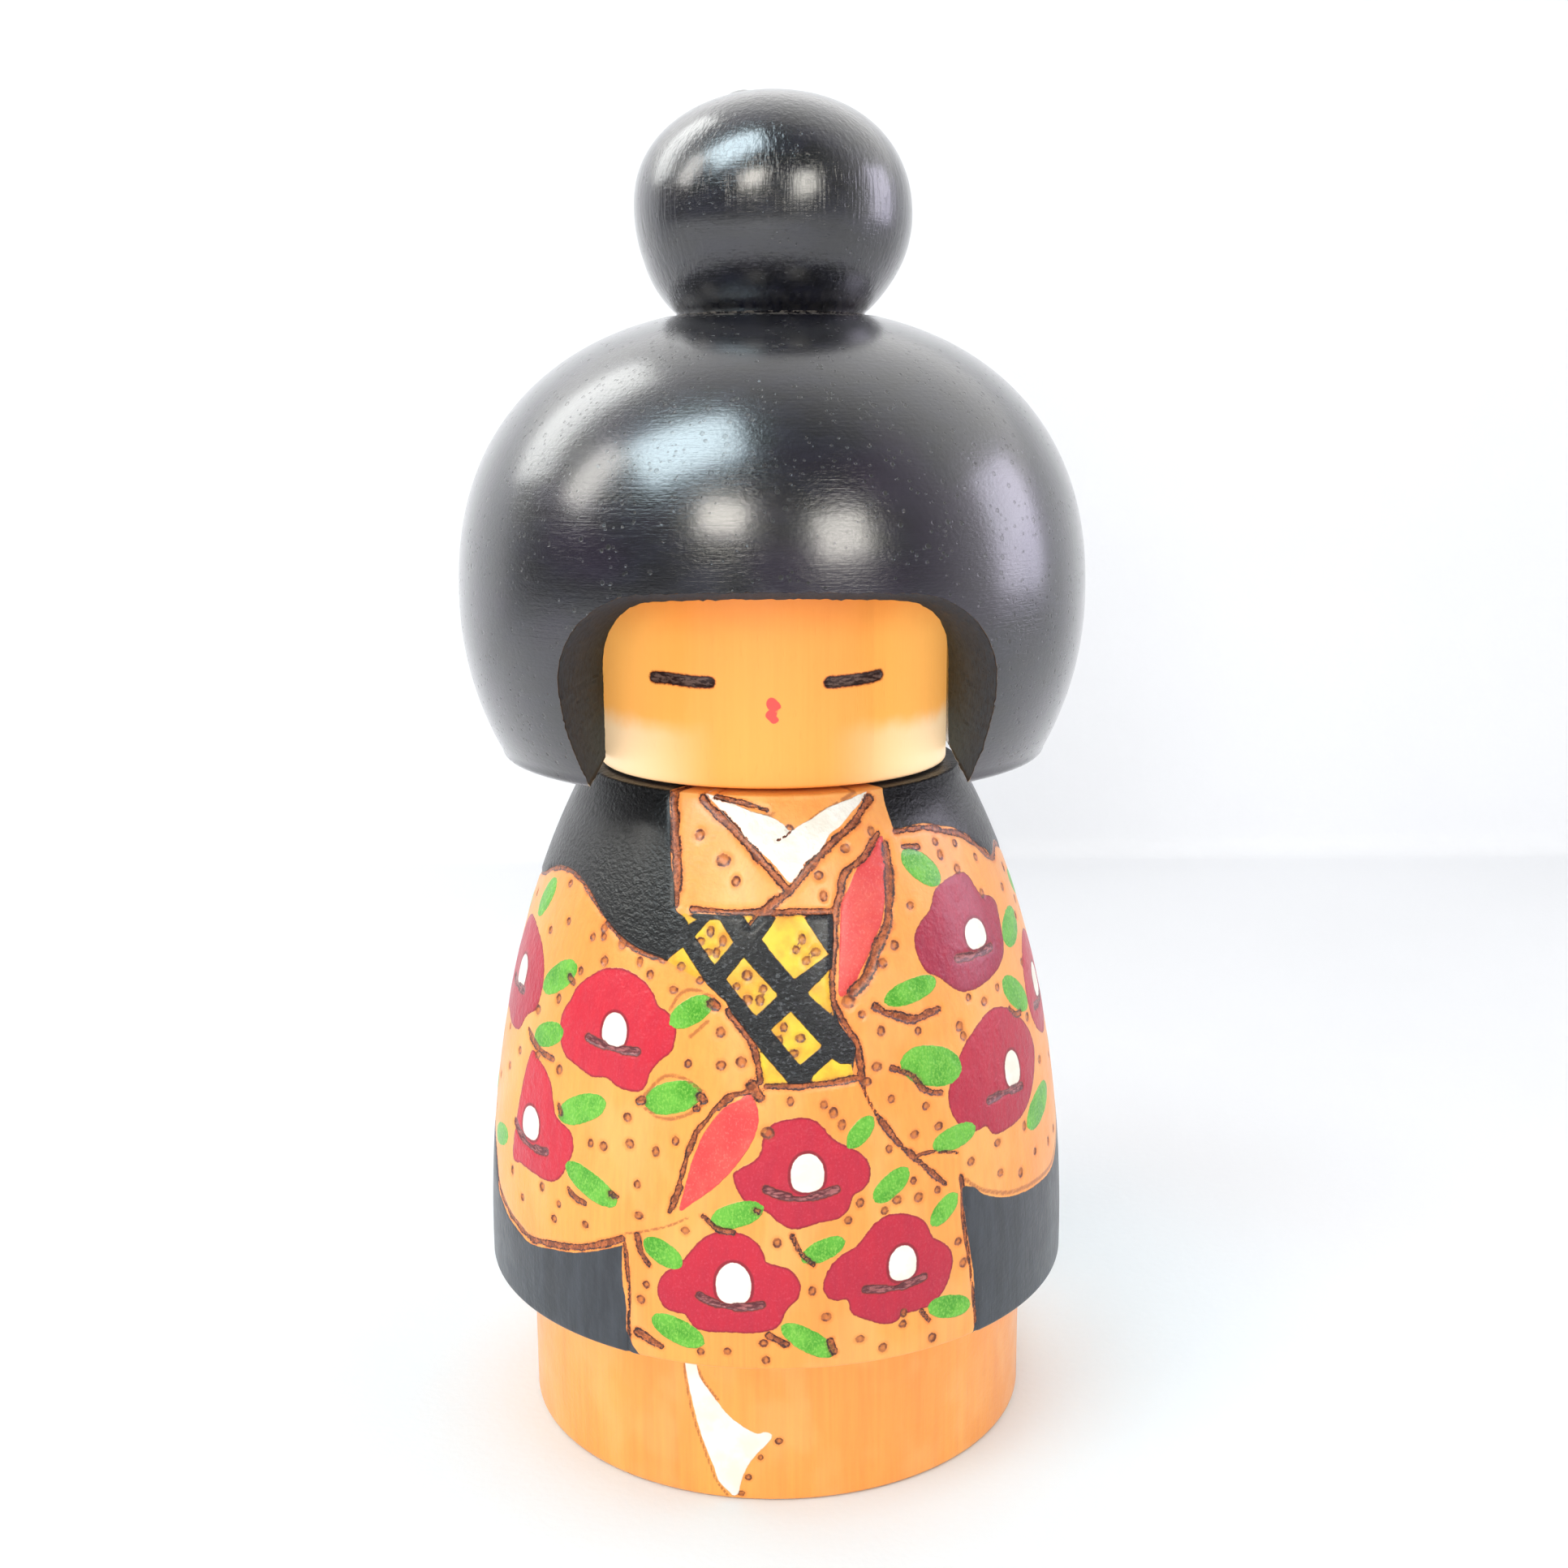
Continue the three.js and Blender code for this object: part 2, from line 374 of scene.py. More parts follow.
HAIR_LEFT = [
    (-30.8, 79), (-30.8, 77.4), (-30, 75.8), (-28.5, 74.3), (-27.3, 72.8), (-26.2, 71), (-25, 69.3),
    (-23.8, 67.8), (-23.1, 66.5), (-22.5, 65.5), (-20.8, 65), (-19, 64.1), (-20.6, 62.2), (-22.9, 60.4),
    (-24.2, 60.6), (-28, 60.9), (-33, 61.6), (-37.7, 62.6), (-43, 64.1), (-48, 65.7),
    (-54, 66.8), (-60, 67.1), (-66, 66.8), (-70, 66.3), (-76, 65.1), (-82, 64.3), (-90, 63.6), (-99, 61),
    (-106, 56), (-110, 49), (-112, 38), (-113, 28), (-113, 10), (-195, 10), (-195, 79),
]
HAIR_RIGHT = [
    (33.3, 79), (33.3, 77.4), (32.6, 76), (32.5, 75), (32.7, 73.6), (33.1, 72.9), (37, 72.8), (42, 72.9),
    (46, 72.6), (50, 72.1), (54, 71.7), (57, 71.1), (60, 70.5), (62.5, 69.7), (64.7, 68.8), (67.5, 68.2),
    (70, 67.3), (74, 67.4), (79, 68), (88, 66.6), (98, 63), (106, 57), (110, 49), (112, 38), (113, 28),
    (113, 10), (195, 10), (195, 79),
]
HEM_LEFT = [
    (-28.2, 30.4), (-28.4, 30), (-28.5, 28.3), (-28.3, 26.1), (-27.7, 24), (-27.7, 20.7), (-27.8, 12),
    (-120, 12), (-120, 47), (-110, 45), (-100, 41), (-90, 36.6), (-82, 33.8), (-75, 31.7),
    (-70.5, 28.6), (-67, 27.8), (-63, 27), (-58, 26.5), (-53, 26.1), (-46.2, 26.9), (-39.2, 27.8),
    (-33.1, 29.1), (-29.5, 30),
]
HEM_RIGHT = [
    (37.2, 35.3), (36.7, 34.6), (36.9, 32.65), (37.3, 30.5), (37.9, 28.3), (38.5, 26.1), (38.9, 24),
    (39.2, 21.8), (39.6, 19.6), (40.6, 12), (120, 12), (120, 48), (110, 45.5), (100, 41.5), (90, 37.3),
    (82, 34.5), (75.6, 32.2), (69.3, 30.9), (60.2, 31.1), (53.8, 31.5), (47.9, 32.2), (43.1, 33.3),
    (41.2, 33.95), (39.6, 34.8),
]
COLLAR = [
    (-19.4, 76.9), (-13, 76.3), (-8.5, 75.7), (-5.4, 75.3), (-0.8, 74.85), (2.4, 74.2), (4.6, 73.5),
    (7.7, 74.1), (10.8, 74.6), (13.8, 75.3), (17.7, 75.8), (21.5, 76.15), (25, 76.5), (27.7, 76.7),
    (25.4, 75.9), (21.5, 74.85), (17.7, 73.65), (15, 73.1), (13.1, 72.1), (10.8, 71.05), (8.5, 70.4),
    (6.2, 69.1), (4.7, 68.55), (3.5, 68.65), (1.5, 69.7), (-1.5, 71), (-4.6, 71.9), (-8.5, 73.4),
    (-12.3, 74.7), (-16.2, 76),
]
OBI = [
    (-19, 65.3), (13.5, 65.3), (13.1, 63), (12.2, 59.8), (12, 56.5), (13, 54.5), (16.2, 52), (15.4, 50.6),
    (14.8, 49), (3.1, 48.7), (-2, 48.7), (-3.2, 52.6), (-4.5, 53.4), (-6.3, 54.6), (-8, 55.5),
    (-9.5, 56.8), (-11.5, 57.6), (-13.7, 58.5), (-19.6, 61.9), (-23, 60.5), (-21, 62.6),
]
OBI_YELLOW = [
    [(-17.2, 63.05), (-14.2, 64.75), (-11.9, 64.85), (-8.5, 62.7), (-12.3, 60.4)],
    [(-9.8, 59.1), (-6.15, 61.3), (1, 57.6), (-3.5, 55.5)],
    [(-2.5, 63), (1.15, 65.5), (6.35, 65.5), (11.7, 61.4), (4.2, 59.1)],
    [(6.7, 57.7), (11.9, 60), (11.9, 55.2)],
    [(-7, 65.5), (-3.2, 65.5), (-5, 64.3)],
    [(-21.5, 65.5), (-16.9, 64.7), (-19, 64.1)],
    [(-0.6, 54.2), (3.4, 56), (9.4, 52.4), (4.9, 50.6)],
    [(-3.1, 52.5), (-1.9, 48.6), (3.1, 48.6)],
    [(7.1, 49.4), (11.1, 51.1), (12.7, 50.5), (14.8, 50.4), (15.2, 49), (7.3, 48.6)],
    [(-22.9, 60.4), (-19.6, 61.9), (-13.7, 58.5), (-18, 59.4)],
]
OBI_DOTS = [
    (-13.7, 63.65), (-10.8, 62.8), (-15.8, 62.6), (-14, 61.6), (-12.1, 61.6),
    (-5.4, 59.5), (-2.1, 58.2), (-7.5, 58.4), (-5.2, 57.1), (-2.7, 57.1),
    (6.2, 63), (4.8, 62), (9, 61.7), (6.9, 60.9),
    (2, 54.4), (5.2, 53.3), (0.8, 53.1), (3.8, 51.8),
]
LINING_RIGHT = [
    (28.8, 72.35), (25, 71.5), (22, 70.2), (19.8, 69.1), (17.5, 67.5), (15.5, 66.3), (14.8, 64), (14.2, 62),
    (13.6, 59.5), (13.4, 57.2), (16.2, 57.8), (18, 59.3), (20.5, 61), (22.7, 62.7), (24.5, 64), (26.2, 66),
    (27.4, 68), (28.5, 70), (29, 71.5),
]
LINING_LEFT = [
    (-4.8, 47.9), (-3.2, 46.6), (-2.9, 44.8), (-4.2, 42.7), (-7.2, 40.2), (-10.9, 37.9), (-14, 36.5),
    (-17.2, 35.1), (-16.6, 36.9), (-15.7, 39.1), (-14.8, 40.9), (-13.3, 43.1), (-11.2, 45), (-8.7, 46.5),
    (-6.1, 47.2),
]
FLAP = [
    (-20, 18.4), (-17.6, 18.4), (-16.8, 15.2), (-15.9, 13.9), (-14, 12.6), (-12, 11.2), (-10, 10),
    (-8, 9.2), (-6.2, 8.6), (-4, 8.1), (-2.4, 8.3), (-0.9, 7.9), (-2, 6.9), (-3.5, 6.1), (-5, 5.1),
    (-6, 4.3), (-7, 3.2), (-7.7, 2), (-8.2, 0.8), (-9.3, 0.5), (-10.2, 0.9), (-11.8, 1.7), (-12.7, 2.4),
    (-13.3, 3.5), (-14.2, 4.7), (-15.2, 6), (-16, 7.2), (-17, 9), (-17.9, 11), (-18.7, 13), (-19.4, 15.3),
]
FLAP_DOTS = [(0.5, 7.2), (-3.4, 5.2), (-6, 2.8), (-7.6, 0.8)]
FLAP_LINES = [
    ([(-16.9, 15.4), (-15.4, 13.7), (-13.8, 12.7), (-12.4, 11.8)], 0.5),
    ([(-20, 16.4), (-18.9, 12), (-17.4, 8.6), (-15, 5), (-13, 2.2), (-10.4, 0.4)], 0.4),
]

# Camellias: outline, stamen (angle, half its width in degrees, bottom, top), the bar
# burned across it, and tone from 0 (dark) to 1 (light).
CAMELLIAS = [
    dict(outline=[(-45.8, 55.5), (-43.8, 56.7), (-40.8, 57.8), (-38.4, 58.5), (-35.7, 58.8), (-33.1, 58.9),
                  (-30.1, 58.6), (-27.3, 58), (-25.1, 57), (-23.8, 55.9), (-21.7, 55.4), (-20.1, 54.5),
                  (-19.4, 53.6), (-19.6, 52.3), (-20.1, 51.4), (-22.2, 50.4), (-24.1, 49.1), (-24.5, 48.3),
                  (-25.1, 47.5), (-26.2, 46.9), (-29.1, 46.8), (-31.5, 47), (-33.4, 47.5), (-35, 47.5),
                  (-37.4, 47.3), (-39.9, 47.6), (-43.1, 48.1), (-45.5, 48.5), (-47.4, 49.5), (-48.3, 50.7),
                  (-48.7, 52.1), (-48, 53.4), (-46.6, 54.4)],
         stamen=(-33.3, 3.0, 50.9, 54.4),
         bar=[(-39.9, 51.2), (-37, 50.9), (-32.7, 50.7), (-29.9, 50.8), (-27.5, 50.9)], tone=0.75),
    dict(outline=[(-73, 60.2), (-79, 59.4), (-83, 56.6), (-86, 54.6), (-86.4, 51.4), (-83, 48.9), (-77, 48.6),
                  (-72, 48), (-66, 48.3), (-62.8, 50.4), (-58.8, 51.8), (-57.7, 54.4), (-59.6, 57),
                  (-64.4, 59)],
         stamen=(-71, 3.3, 52.5, 56.1), bar=[(-79, 52.5), (-73, 52.3), (-67.5, 52.5)], tone=0.4),
    dict(outline=[(-58.5, 46.5), (-54.7, 46.9), (-51.5, 46.2), (-49, 45), (-47.6, 43.2), (-46.2, 41.8),
                  (-42.4, 41), (-41.1, 40.2), (-40.8, 38.9), (-41.9, 37.2), (-43.7, 35.6), (-45.6, 34.7),
                  (-48.8, 34.3), (-53.5, 34.4), (-57.5, 34.5), (-61.8, 35.1)],
         stamen=(-54.8, 3.2, 37.9, 41.5),
         bar=[(-61.6, 38.5), (-58.4, 37.5), (-54.7, 37.1), (-51, 37.2), (-48.6, 37.5)], tone=0.7),
    dict(outline=[(-7.4, 39), (-7.3, 39.6), (-6, 40.2), (-3.7, 40.9), (-2.5, 41.8), (-2.1, 43),
                  (-1.3, 44.1), (0.3, 44.9), (2.7, 45.2), (5.5, 45.3), (7.6, 44.9), (9.2, 44.1),
                  (10.5, 43.1), (12.3, 42.4), (15.1, 41.5), (16.8, 40.6), (17.5, 39.4), (17.2, 38.2),
                  (15.9, 37.3), (14.2, 36.9), (13.7, 36), (12.7, 35.1), (10.9, 34.5), (7.9, 34.3),
                  (5.3, 33.9), (2.9, 33.8), (0.8, 34.4), (-1.4, 35.6), (-3.8, 36), (-5.5, 36.8),
                  (-6.7, 37.9)],
         stamen=(5.9, 3.0, 37.6, 41.6),
         bar=[(-1.5, 38), (1.1, 37.3), (4.7, 36.9), (8, 37.2), (11.1, 37.7)], tone=0.5),
    dict(outline=[(-21.3, 26), (-21.1, 27.1), (-19.8, 28.3), (-17.1, 29.5), (-15.7, 30.5), (-13.7, 32),
                  (-11.6, 33), (-9.4, 33.4), (-6.8, 33.4), (-4.5, 33), (-2.9, 32.2), (-2, 31.2),
                  (-1.4, 30.3), (0.4, 29.9), (2.4, 29.5), (3.8, 28.6), (4.5, 27.5), (3.9, 26.2),
                  (2.4, 25.3), (1.5, 24.4), (0.8, 23.4), (-1.2, 22.7), (-4.7, 22.4), (-8.3, 22.4),
                  (-11.9, 22.3), (-14.4, 22.6), (-15.9, 23.8), (-17.4, 24), (-19.4, 24.2), (-20.8, 25)],
         stamen=(-7.3, 3.1, 25.6, 30.1),
         bar=[(-13.4, 26.2), (-11.2, 25.6), (-8.7, 25.3), (-5.9, 25.2), (-2.4, 25.6)], tone=0.55),
    dict(outline=[(8.5, 26.9), (8.5, 28), (9.7, 29.5), (11.5, 30.6), (14.5, 31.5), (15.8, 32.3),
                  (17.7, 33.5), (19.9, 34.2), (22.4, 34.3), (25.4, 33.8), (27.7, 32.9), (28.8, 31.8),
                  (29.6, 30.8), (31.8, 29.9), (33.4, 28.7), (33.7, 27.3), (32.6, 25.4), (30.7, 24),
                  (28.3, 23.2), (25.3, 23.1), (22.9, 23), (21.8, 22.4), (19.3, 22.4), (16.5, 23.1),
                  (13.5, 24.1), (12.7, 25.7), (11.1, 25.7), (9.5, 26)],
         stamen=(23.2, 2.7, 26.9, 30.7),
         bar=[(16.1, 26.6), (19.6, 26.3), (23.1, 26.2), (27.5, 26.7)], tone=0.45),
    dict(outline=[(31.8, 61.3), (32.5, 62.4), (34.4, 63.4), (37.7, 64.4), (39.3, 65.4), (41.1, 66.3),
                  (45, 66.9), (50.8, 67.2), (53.7, 66.7), (55.4, 65.2), (57.2, 64.2), (60.9, 63.7),
                  (63, 62.6), (62.2, 60.8), (61.3, 58.8), (59.4, 57.3), (55.2, 56.2), (49.7, 55.5),
                  (45.4, 55.3), (41.7, 55.6), (39.1, 56.5), (36.8, 57.5), (33.7, 58.4), (32.2, 59.8)],
         stamen=(50.5, 3.8, 59.2, 62.3),
         bar=[(42.8, 58.9), (47.3, 58.7), (51.2, 58.7), (55.1, 58.8)], tone=0.1),
    dict(outline=[(34.9, 44.8), (35.4, 46.1), (36.9, 47.6), (39, 49.2), (41.6, 50.5), (45.3, 51.7),
                  (48.7, 52.5), (52.3, 52.6), (56.6, 51.9), (60.9, 50.3), (64.7, 48.2), (66.1, 46.2),
                  (65.2, 44.5), (62.7, 42.5), (59.6, 40.9), (55.1, 39.8), (50.5, 39.5), (47, 39.5),
                  (45.1, 40), (43.9, 40.9), (41.8, 40.7), (39.4, 41), (37, 42), (35.4, 43.4)],
         stamen=(54.5, 2.8, 43.6, 47.5),
         bar=[(45.6, 43.4), (49, 43.5), (53.3, 43.3), (57.3, 43.1)], tone=0.35),
    dict(outline=[(67.2, 51), (68.4, 54.2), (72, 56.6), (77, 57.8), (82, 57), (86, 55), (88.6, 52.6),
                  (88, 49.6), (84.6, 47.6), (80, 46.6), (76, 45.9), (71.6, 46.8), (68.4, 48.6)],
         stamen=(78, 3.4, 50, 53.8), bar=[(71.6, 49.7), (77, 49.3), (84, 49.7)], tone=0.5),
    dict(outline=[(-98, 52.2), (-94, 50.6), (-89.4, 49.4), (-87.2, 46.2), (-88, 42.8), (-92, 40.6),
                  (-97, 40.9), (-101, 40.4), (-105.6, 42.2), (-107, 45.4), (-104.6, 48.8), (-102, 51.4)],
         stamen=(-97, 3.2, 44.4, 48.2), bar=[(-103, 44.3), (-97, 43.9), (-91, 44.3)], tone=0.45),
    dict(outline=[(98, 54), (102.6, 52.6), (106.6, 49.6), (106, 46), (102.4, 43.4), (97.6, 43.9),
                  (93, 43.2), (89.4, 45.4), (88.4, 47.4), (91, 50.6), (94, 53.2)],
         stamen=(98, 3.2, 47, 50.8), bar=[(92, 46.9), (98, 46.5), (104, 46.9)], tone=0.45),
]

# Leaves: tip, end and width.
LEAVES = [
    ((-70.5, 60.9), (-64.3, 65.3), 3.0), ((-57.5, 54.3), (-46.5, 58.0), 3.0),
    ((-57.5, 48.9), (-47.2, 50.9), 2.7), ((-45.8, 42.0), (-33.6, 45.1), 3.0),
    ((-42.6, 37.2), (-29.8, 34.6), 2.9), ((-25.0, 45.8), (-13.7, 47.8), 3.3),
    ((-20.9, 54.2), (-12.3, 57.0), 2.6), ((-75, 34.4), (-65, 36.2), 2.6),
    ((-24.0, 31.4), (-16.6, 29.3), 2.6), ((-22.4, 23.0), (-12.6, 20.9), 2.9),
    ((-11.4, 34.3), (-2.0, 36.1), 2.6), ((4.6, 30.4), (12.4, 32.3), 2.3),
    ((1.1, 23.3), (10.3, 19.7), 2.5), ((13.5, 41.9), (18.4, 44.8), 2.1),
    ((18.0, 36.0), (25.0, 38.8), 2.5), ((29.2, 32.2), (35.3, 34.8), 2.3),
    ((28.2, 23.2), (37.8, 21.8), 2.6), ((33.4, 70.4), (43.3, 66.9), 3.0),
    ((22.8, 56.2), (35.8, 57.4), 2.4), ((25.0, 49.9), (39.0, 47.8), 4.2),
    ((30.4, 40.5), (41.0, 41.2), 2.5), ((61.6, 58.6), (73.6, 60.4), 3.6),
    ((56.4, 54.8), (66.8, 50.7), 3.2), ((57.8, 38.4), (71.2, 40.6), 3.6),
    ((80.0, 63.6), (90.0, 61.4), 2.8), ((84.0, 43.6), (92.0, 41.0), 2.6),
    ((-92.0, 58.6), (-84.0, 61.2), 2.8), ((-90.0, 38.6), (-80.0, 39.4), 2.6),
]

# Pen strokes: points and width. First the outlines of the clothes, then short ones.
LINES = [
    ([(-29, 77.4), (-28.5, 75.8), (-26.9, 74.1), (-25.4, 71.9), (-24.2, 70.4), (-23.4, 68.8),
      (-22.6, 66)], 1.2),
    ([(-20, 76.3), (-16, 75.2), (-12, 74.2), (-8, 72.8), (-4, 71.2), (0, 69.4), (3.3, 67.9)], 1.1),
    ([(28.1, 76), (25.4, 75.2), (22.3, 74.1), (19.2, 73.2), (16.2, 72.5), (13.1, 71.5), (10, 70.4),
      (6.9, 69.1), (3.8, 67.7), (1.5, 66.9), (-1.5, 66), (-3.5, 65), (-5, 64.3)], 1.1),
    ([(-18.6, 65.7), (-9, 65.6), (2, 65.7), (13.5, 65.5)], 0.8),
    ([(28.1, 72.6), (25.4, 71.7), (22.7, 70.5), (20, 69.85), (17.7, 69.3), (16.2, 68.4), (15.6, 67.35),
      (14.6, 66.3), (13.8, 65.2), (13.3, 62.8), (12.5, 60.6), (12.1, 58.4), (12.3, 56.3), (14.2, 54.4),
      (15.8, 52.9), (16.3, 52), (16.7, 50.5), (16.9, 48.5)], 0.95),
    ([(16.9, 48.5), (17.6, 46.9), (19.7, 44.6), (22.5, 42.2), (25.8, 40.1), (29.2, 38.2), (32.9, 36.1)], 0.5),
    ([(29.6, 71.5), (29.2, 69.7), (28.5, 68.2), (27.7, 66.5), (26.5, 64.5), (25, 63), (22.3, 61.3),
      (20.8, 59.7), (18.5, 58.4), (16.3, 57.6)], 1.3),
    ([(-9, 55.9), (-6.9, 54.8), (-4.6, 53.3), (-3.5, 52), (-2.9, 50.5), (-2.5, 49)], 1.0),
    ([(-2.7, 48.9), (-4.8, 47.9), (-8.1, 47.5), (-10.6, 46.4), (-12.5, 44.9), (-14.9, 43.1), (-16.1, 40.9),
      (-17.3, 38.3), (-18.5, 36), (-19.1, 34.9)], 0.6),
    ([(-1.5, 48.5), (7, 48.5), (16.3, 48.9)], 0.9),
    ([(33.2, 72.6), (38, 72.5), (44, 72.4), (50, 71.7)], 0.7),
    ([(50, 71.6), (57, 70.7), (62.5, 69.3), (70, 67), (79, 67.6), (88, 66.3), (98, 62.6),
      (105.4, 56.8)], 0.9),
    ([(-82, 33.9), (-75, 32.1), (-70.5, 29.2), (-63, 27.6), (-58, 27.1), (-53, 26.7), (-46.2, 27.5),
      (-39.2, 28.4), (-33.1, 29.7), (-28.5, 31)], 0.85),
    ([(-28, 30.6), (-27.4, 28), (-27, 25), (-27.2, 22), (-27.3, 18.4)], 0.55),
    ([(37, 35.2), (36.4, 33.4), (36.8, 30.5), (37.5, 28), (38.2, 25), (38.9, 21.8), (39.5, 18.4)], 0.55),
    ([(-42, 63.9), (-48, 65.5), (-54, 66.6), (-60, 66.9), (-70, 66.1), (-76, 64.9), (-88, 63.6),
      (-98, 61), (-105.4, 56)], 0.7),
    ([(-23.6, 60.6), (-28, 60.8), (-33, 61.4), (-40, 63.1)], 0.7),
]
STROKES = [
    ([(-16, 76.6), (-10.3, 76.3), (-5.6, 75.9), (-1.5, 75.5)], 0.55),
    ([(1.3, 72.6), (3.4, 73.0), (4.8, 73.5)], 0.35),
    ([(-61, 49.2), (-58, 48.4), (-54, 47.8), (-49.5, 47.6)], 0.8),
    ([(-46.2, 43.1), (-45.2, 42.4)], 0.9), ([(-41.7, 34.6), (-40, 33.95), (-37.3, 33.6)], 0.8),
    ([(-31.4, 35.6), (-30, 35.4)], 1.0), ([(-12.4, 56.5), (-11.4, 56.3)], 1.2),
    ([(-25.4, 31.8), (-24.6, 30), (-23, 28.7)], 0.8),
    ([(-25.4, 20.9), (-20.8, 19.8)], 1.2), ([(-12.7, 34.8), (-10.4, 33.7), (-7.3, 33.3)], 0.8),
    ([(-3.4, 35.8), (-2.7, 35.6)], 0.9), ([(3.1, 32.9), (4.6, 31.1), (6.9, 29.8)], 0.8),
    ([(-1.2, 22.2), (1.9, 21.1)], 0.9), ([(9.6, 21.3), (10.4, 20)], 0.9),
    ([(26.9, 22.9), (28.5, 21.6)], 0.9), ([(34.6, 71), (39, 70.7)], 0.8),
    ([(20.8, 55.9), (23.1, 55), (26.2, 54.4), (29.2, 53.95), (32.7, 54.2), (35.4, 54.4)], 1.1),
    ([(23.1, 49.5), (25.4, 48.85), (27.3, 48.3), (29.2, 46.8), (31.5, 46.1), (33.5, 45.9)], 0.9),
    ([(27.3, 40), (30.8, 39.9), (36.2, 39.1)], 0.5), ([(20.1, 44.2), (23.6, 41.5)], 0.8),
    ([(25.4, 40.4), (28.9, 38.4), (32.8, 36.2)], 0.85), ([(36.5, 36.5), (36.9, 34.6), (37.2, 33)], 0.8),
    ([(-8.1, 47.3), (-10.3, 46.2)], 0.9), ([(-14.7, 43.2), (-15.8, 41.4)], 0.8),
    ([(-17.3, 37.7), (-18.5, 35.5)], 1.0),
    ([(57.5, 51.75), (59.6, 50.8), (62, 50.5)], 0.8), ([(-48.4, 56.6), (-46.8, 56.2)], 0.9),
    ([(-4, 48.6), (-2.6, 47.4)], 1.5), ([(-26.4, 45.9), (-25.4, 46.1)], 0.9),
    ([(-13.8, 47.2), (-13.2, 46.8)], 1.0), ([(-14.8, 45.9), (-14.4, 45.9)], 0.8),
]
# Strokes of a cooler pen, which only browned the wood.
FAINT = [
    ([(-28, 31.6), (-23.1, 32.5), (-18.4, 33.6), (-15.4, 34.6)], 0.35),
    ([(37.5, 36), (41.3, 34.3), (47.9, 32.7), (53.8, 32), (60.2, 31.6), (69.3, 31.4), (75.6, 32.7),
      (84, 35.4)], 0.6),
    ([(-2.5, 74.9), (0.5, 75.1)], 0.5), ([(19.6, 76.1), (23.8, 76.8)], 0.6),
    ([(-24.8, 45.3), (-21, 44.5), (-16.4, 45.2), (-13.4, 46.4)], 0.5),
    ([(-25.2, 46.6), (-21.4, 48.8), (-17.4, 48.9), (-13.6, 47.8)], 0.5),
    ([(-21.2, 55.6), (-19, 57.4), (-16, 57.8), (-12.6, 57.3)], 0.45),
    ([(-16.5, 53.1), (-13.1, 54.8)], 0.5), ([(6.2, 73.4), (12, 74.9), (18, 75.9)], 0.4),
]
DOTS = [
    (4.2, 73.6), (-57, 65.7), (-53.3, 62), (-60.3, 60.3), (-43.5, 61.3), (-40.6, 62.5), (-40.2, 61.6),
    (-34.6, 61.3), (-29.4, 59.9), (-26.5, 58.8), (-38.7, 59.2), (-23.9, 60.5), (-20.8, 57.6),
    (-19.6, 60), (-15.2, 58.8), (-45.2, 57.6), (-50.8, 54), (-58, 51.8), (-55.3, 47.2), (-47.1, 46.8),
    (-63.8, 46.3), (-73.5, 47.4), (-69, 43.6), (-76.8, 41), (-28.5, 44), (-27.7, 41.3), (-22.2, 41),
    (-18.4, 42.4), (-36.6, 40.3), (-33.5, 40.4), (-25.7, 37.2), (-16.6, 50.4), (-10.4, 53.8),
    (-10.1, 50.5), (-6.2, 50.9), (-49.5, 33.4), (-44.2, 32.4), (-37, 31.3), (-45.4, 30.5),
    (-56.6, 30.7), (-61.7, 32.8), (-25.2, 33.9), (-16.1, 33.1), (-23.5, 26.5), (-24.6, 24.7),
    (-13.3, 19.9), (-8.5, 20.2), (-2.1, 21.3), (-1.7, 19.4), (0.4, 32.3), (6.5, 27), (8.9, 24),
    (13.1, 34.3), (15.4, 36), (15, 21.1), (19.3, 19.7), (29.2, 19.5), (23.2, 21.9), (23.3, 23.2),
    (26.9, 35.5), (31, 35.8), (35.2, 29.5), (36.3, 26.9), (22.5, 35.7), (20, 34.8), (3, 47),
    (9.3, 46.5), (11, 45.6), (12.5, 44.3), (17.8, 55.2), (21.5, 53.3), (29.7, 52.7), (40.1, 52.1),
    (40.8, 51), (44, 54.7), (48.7, 53.7), (54.3, 54.5), (20, 49.8), (22.5, 46.3), (29.7, 44.9),
    (32.2, 42.5), (26.8, 42.2), (21.4, 41.2), (17.7, 48.4), (26, 37.4), (39.3, 37.7), (47, 38.5),
    (56.8, 38.6), (47.2, 35.1), (60.6, 34.9), (68.8, 34.3), (74.7, 34.5), (54, 33.8), (68.8, 44),
    (65.4, 49.5), (69.3, 55.2), (74.3, 59.9), (80, 61.1), (78.4, 65), (70.6, 63.6), (60.4, 68),
    (57.7, 64.3), (50.6, 67.6), (53.1, 70.1), (45.6, 70.8), (45.9, 69.4), (47.2, 72), (32.7, 65.2),
    (26.9, 61.6), (23.5, 60), (26.2, 72.9), (-19, 72.9), (-8.7, 68.6), (10.8, 69.1), (11.6, 67.1),
    (18.3, 71.5), (-82, 45.4), (-80, 36.6), (-88, 55.6), (-96, 55.4), (-92, 60.9), (-78, 62.4),
    (84, 59.4), (92, 57.6), (100, 57.6), (86, 38.6), (96, 40.4), (80, 42.4), (-86, 36.2),
]
BIG_DOTS = [(-12.1, 70.6), (-1.2, 43.8), (15.2, 56.6)]
BIG_DOT = 1.55
FLAP_DOT = 0.9

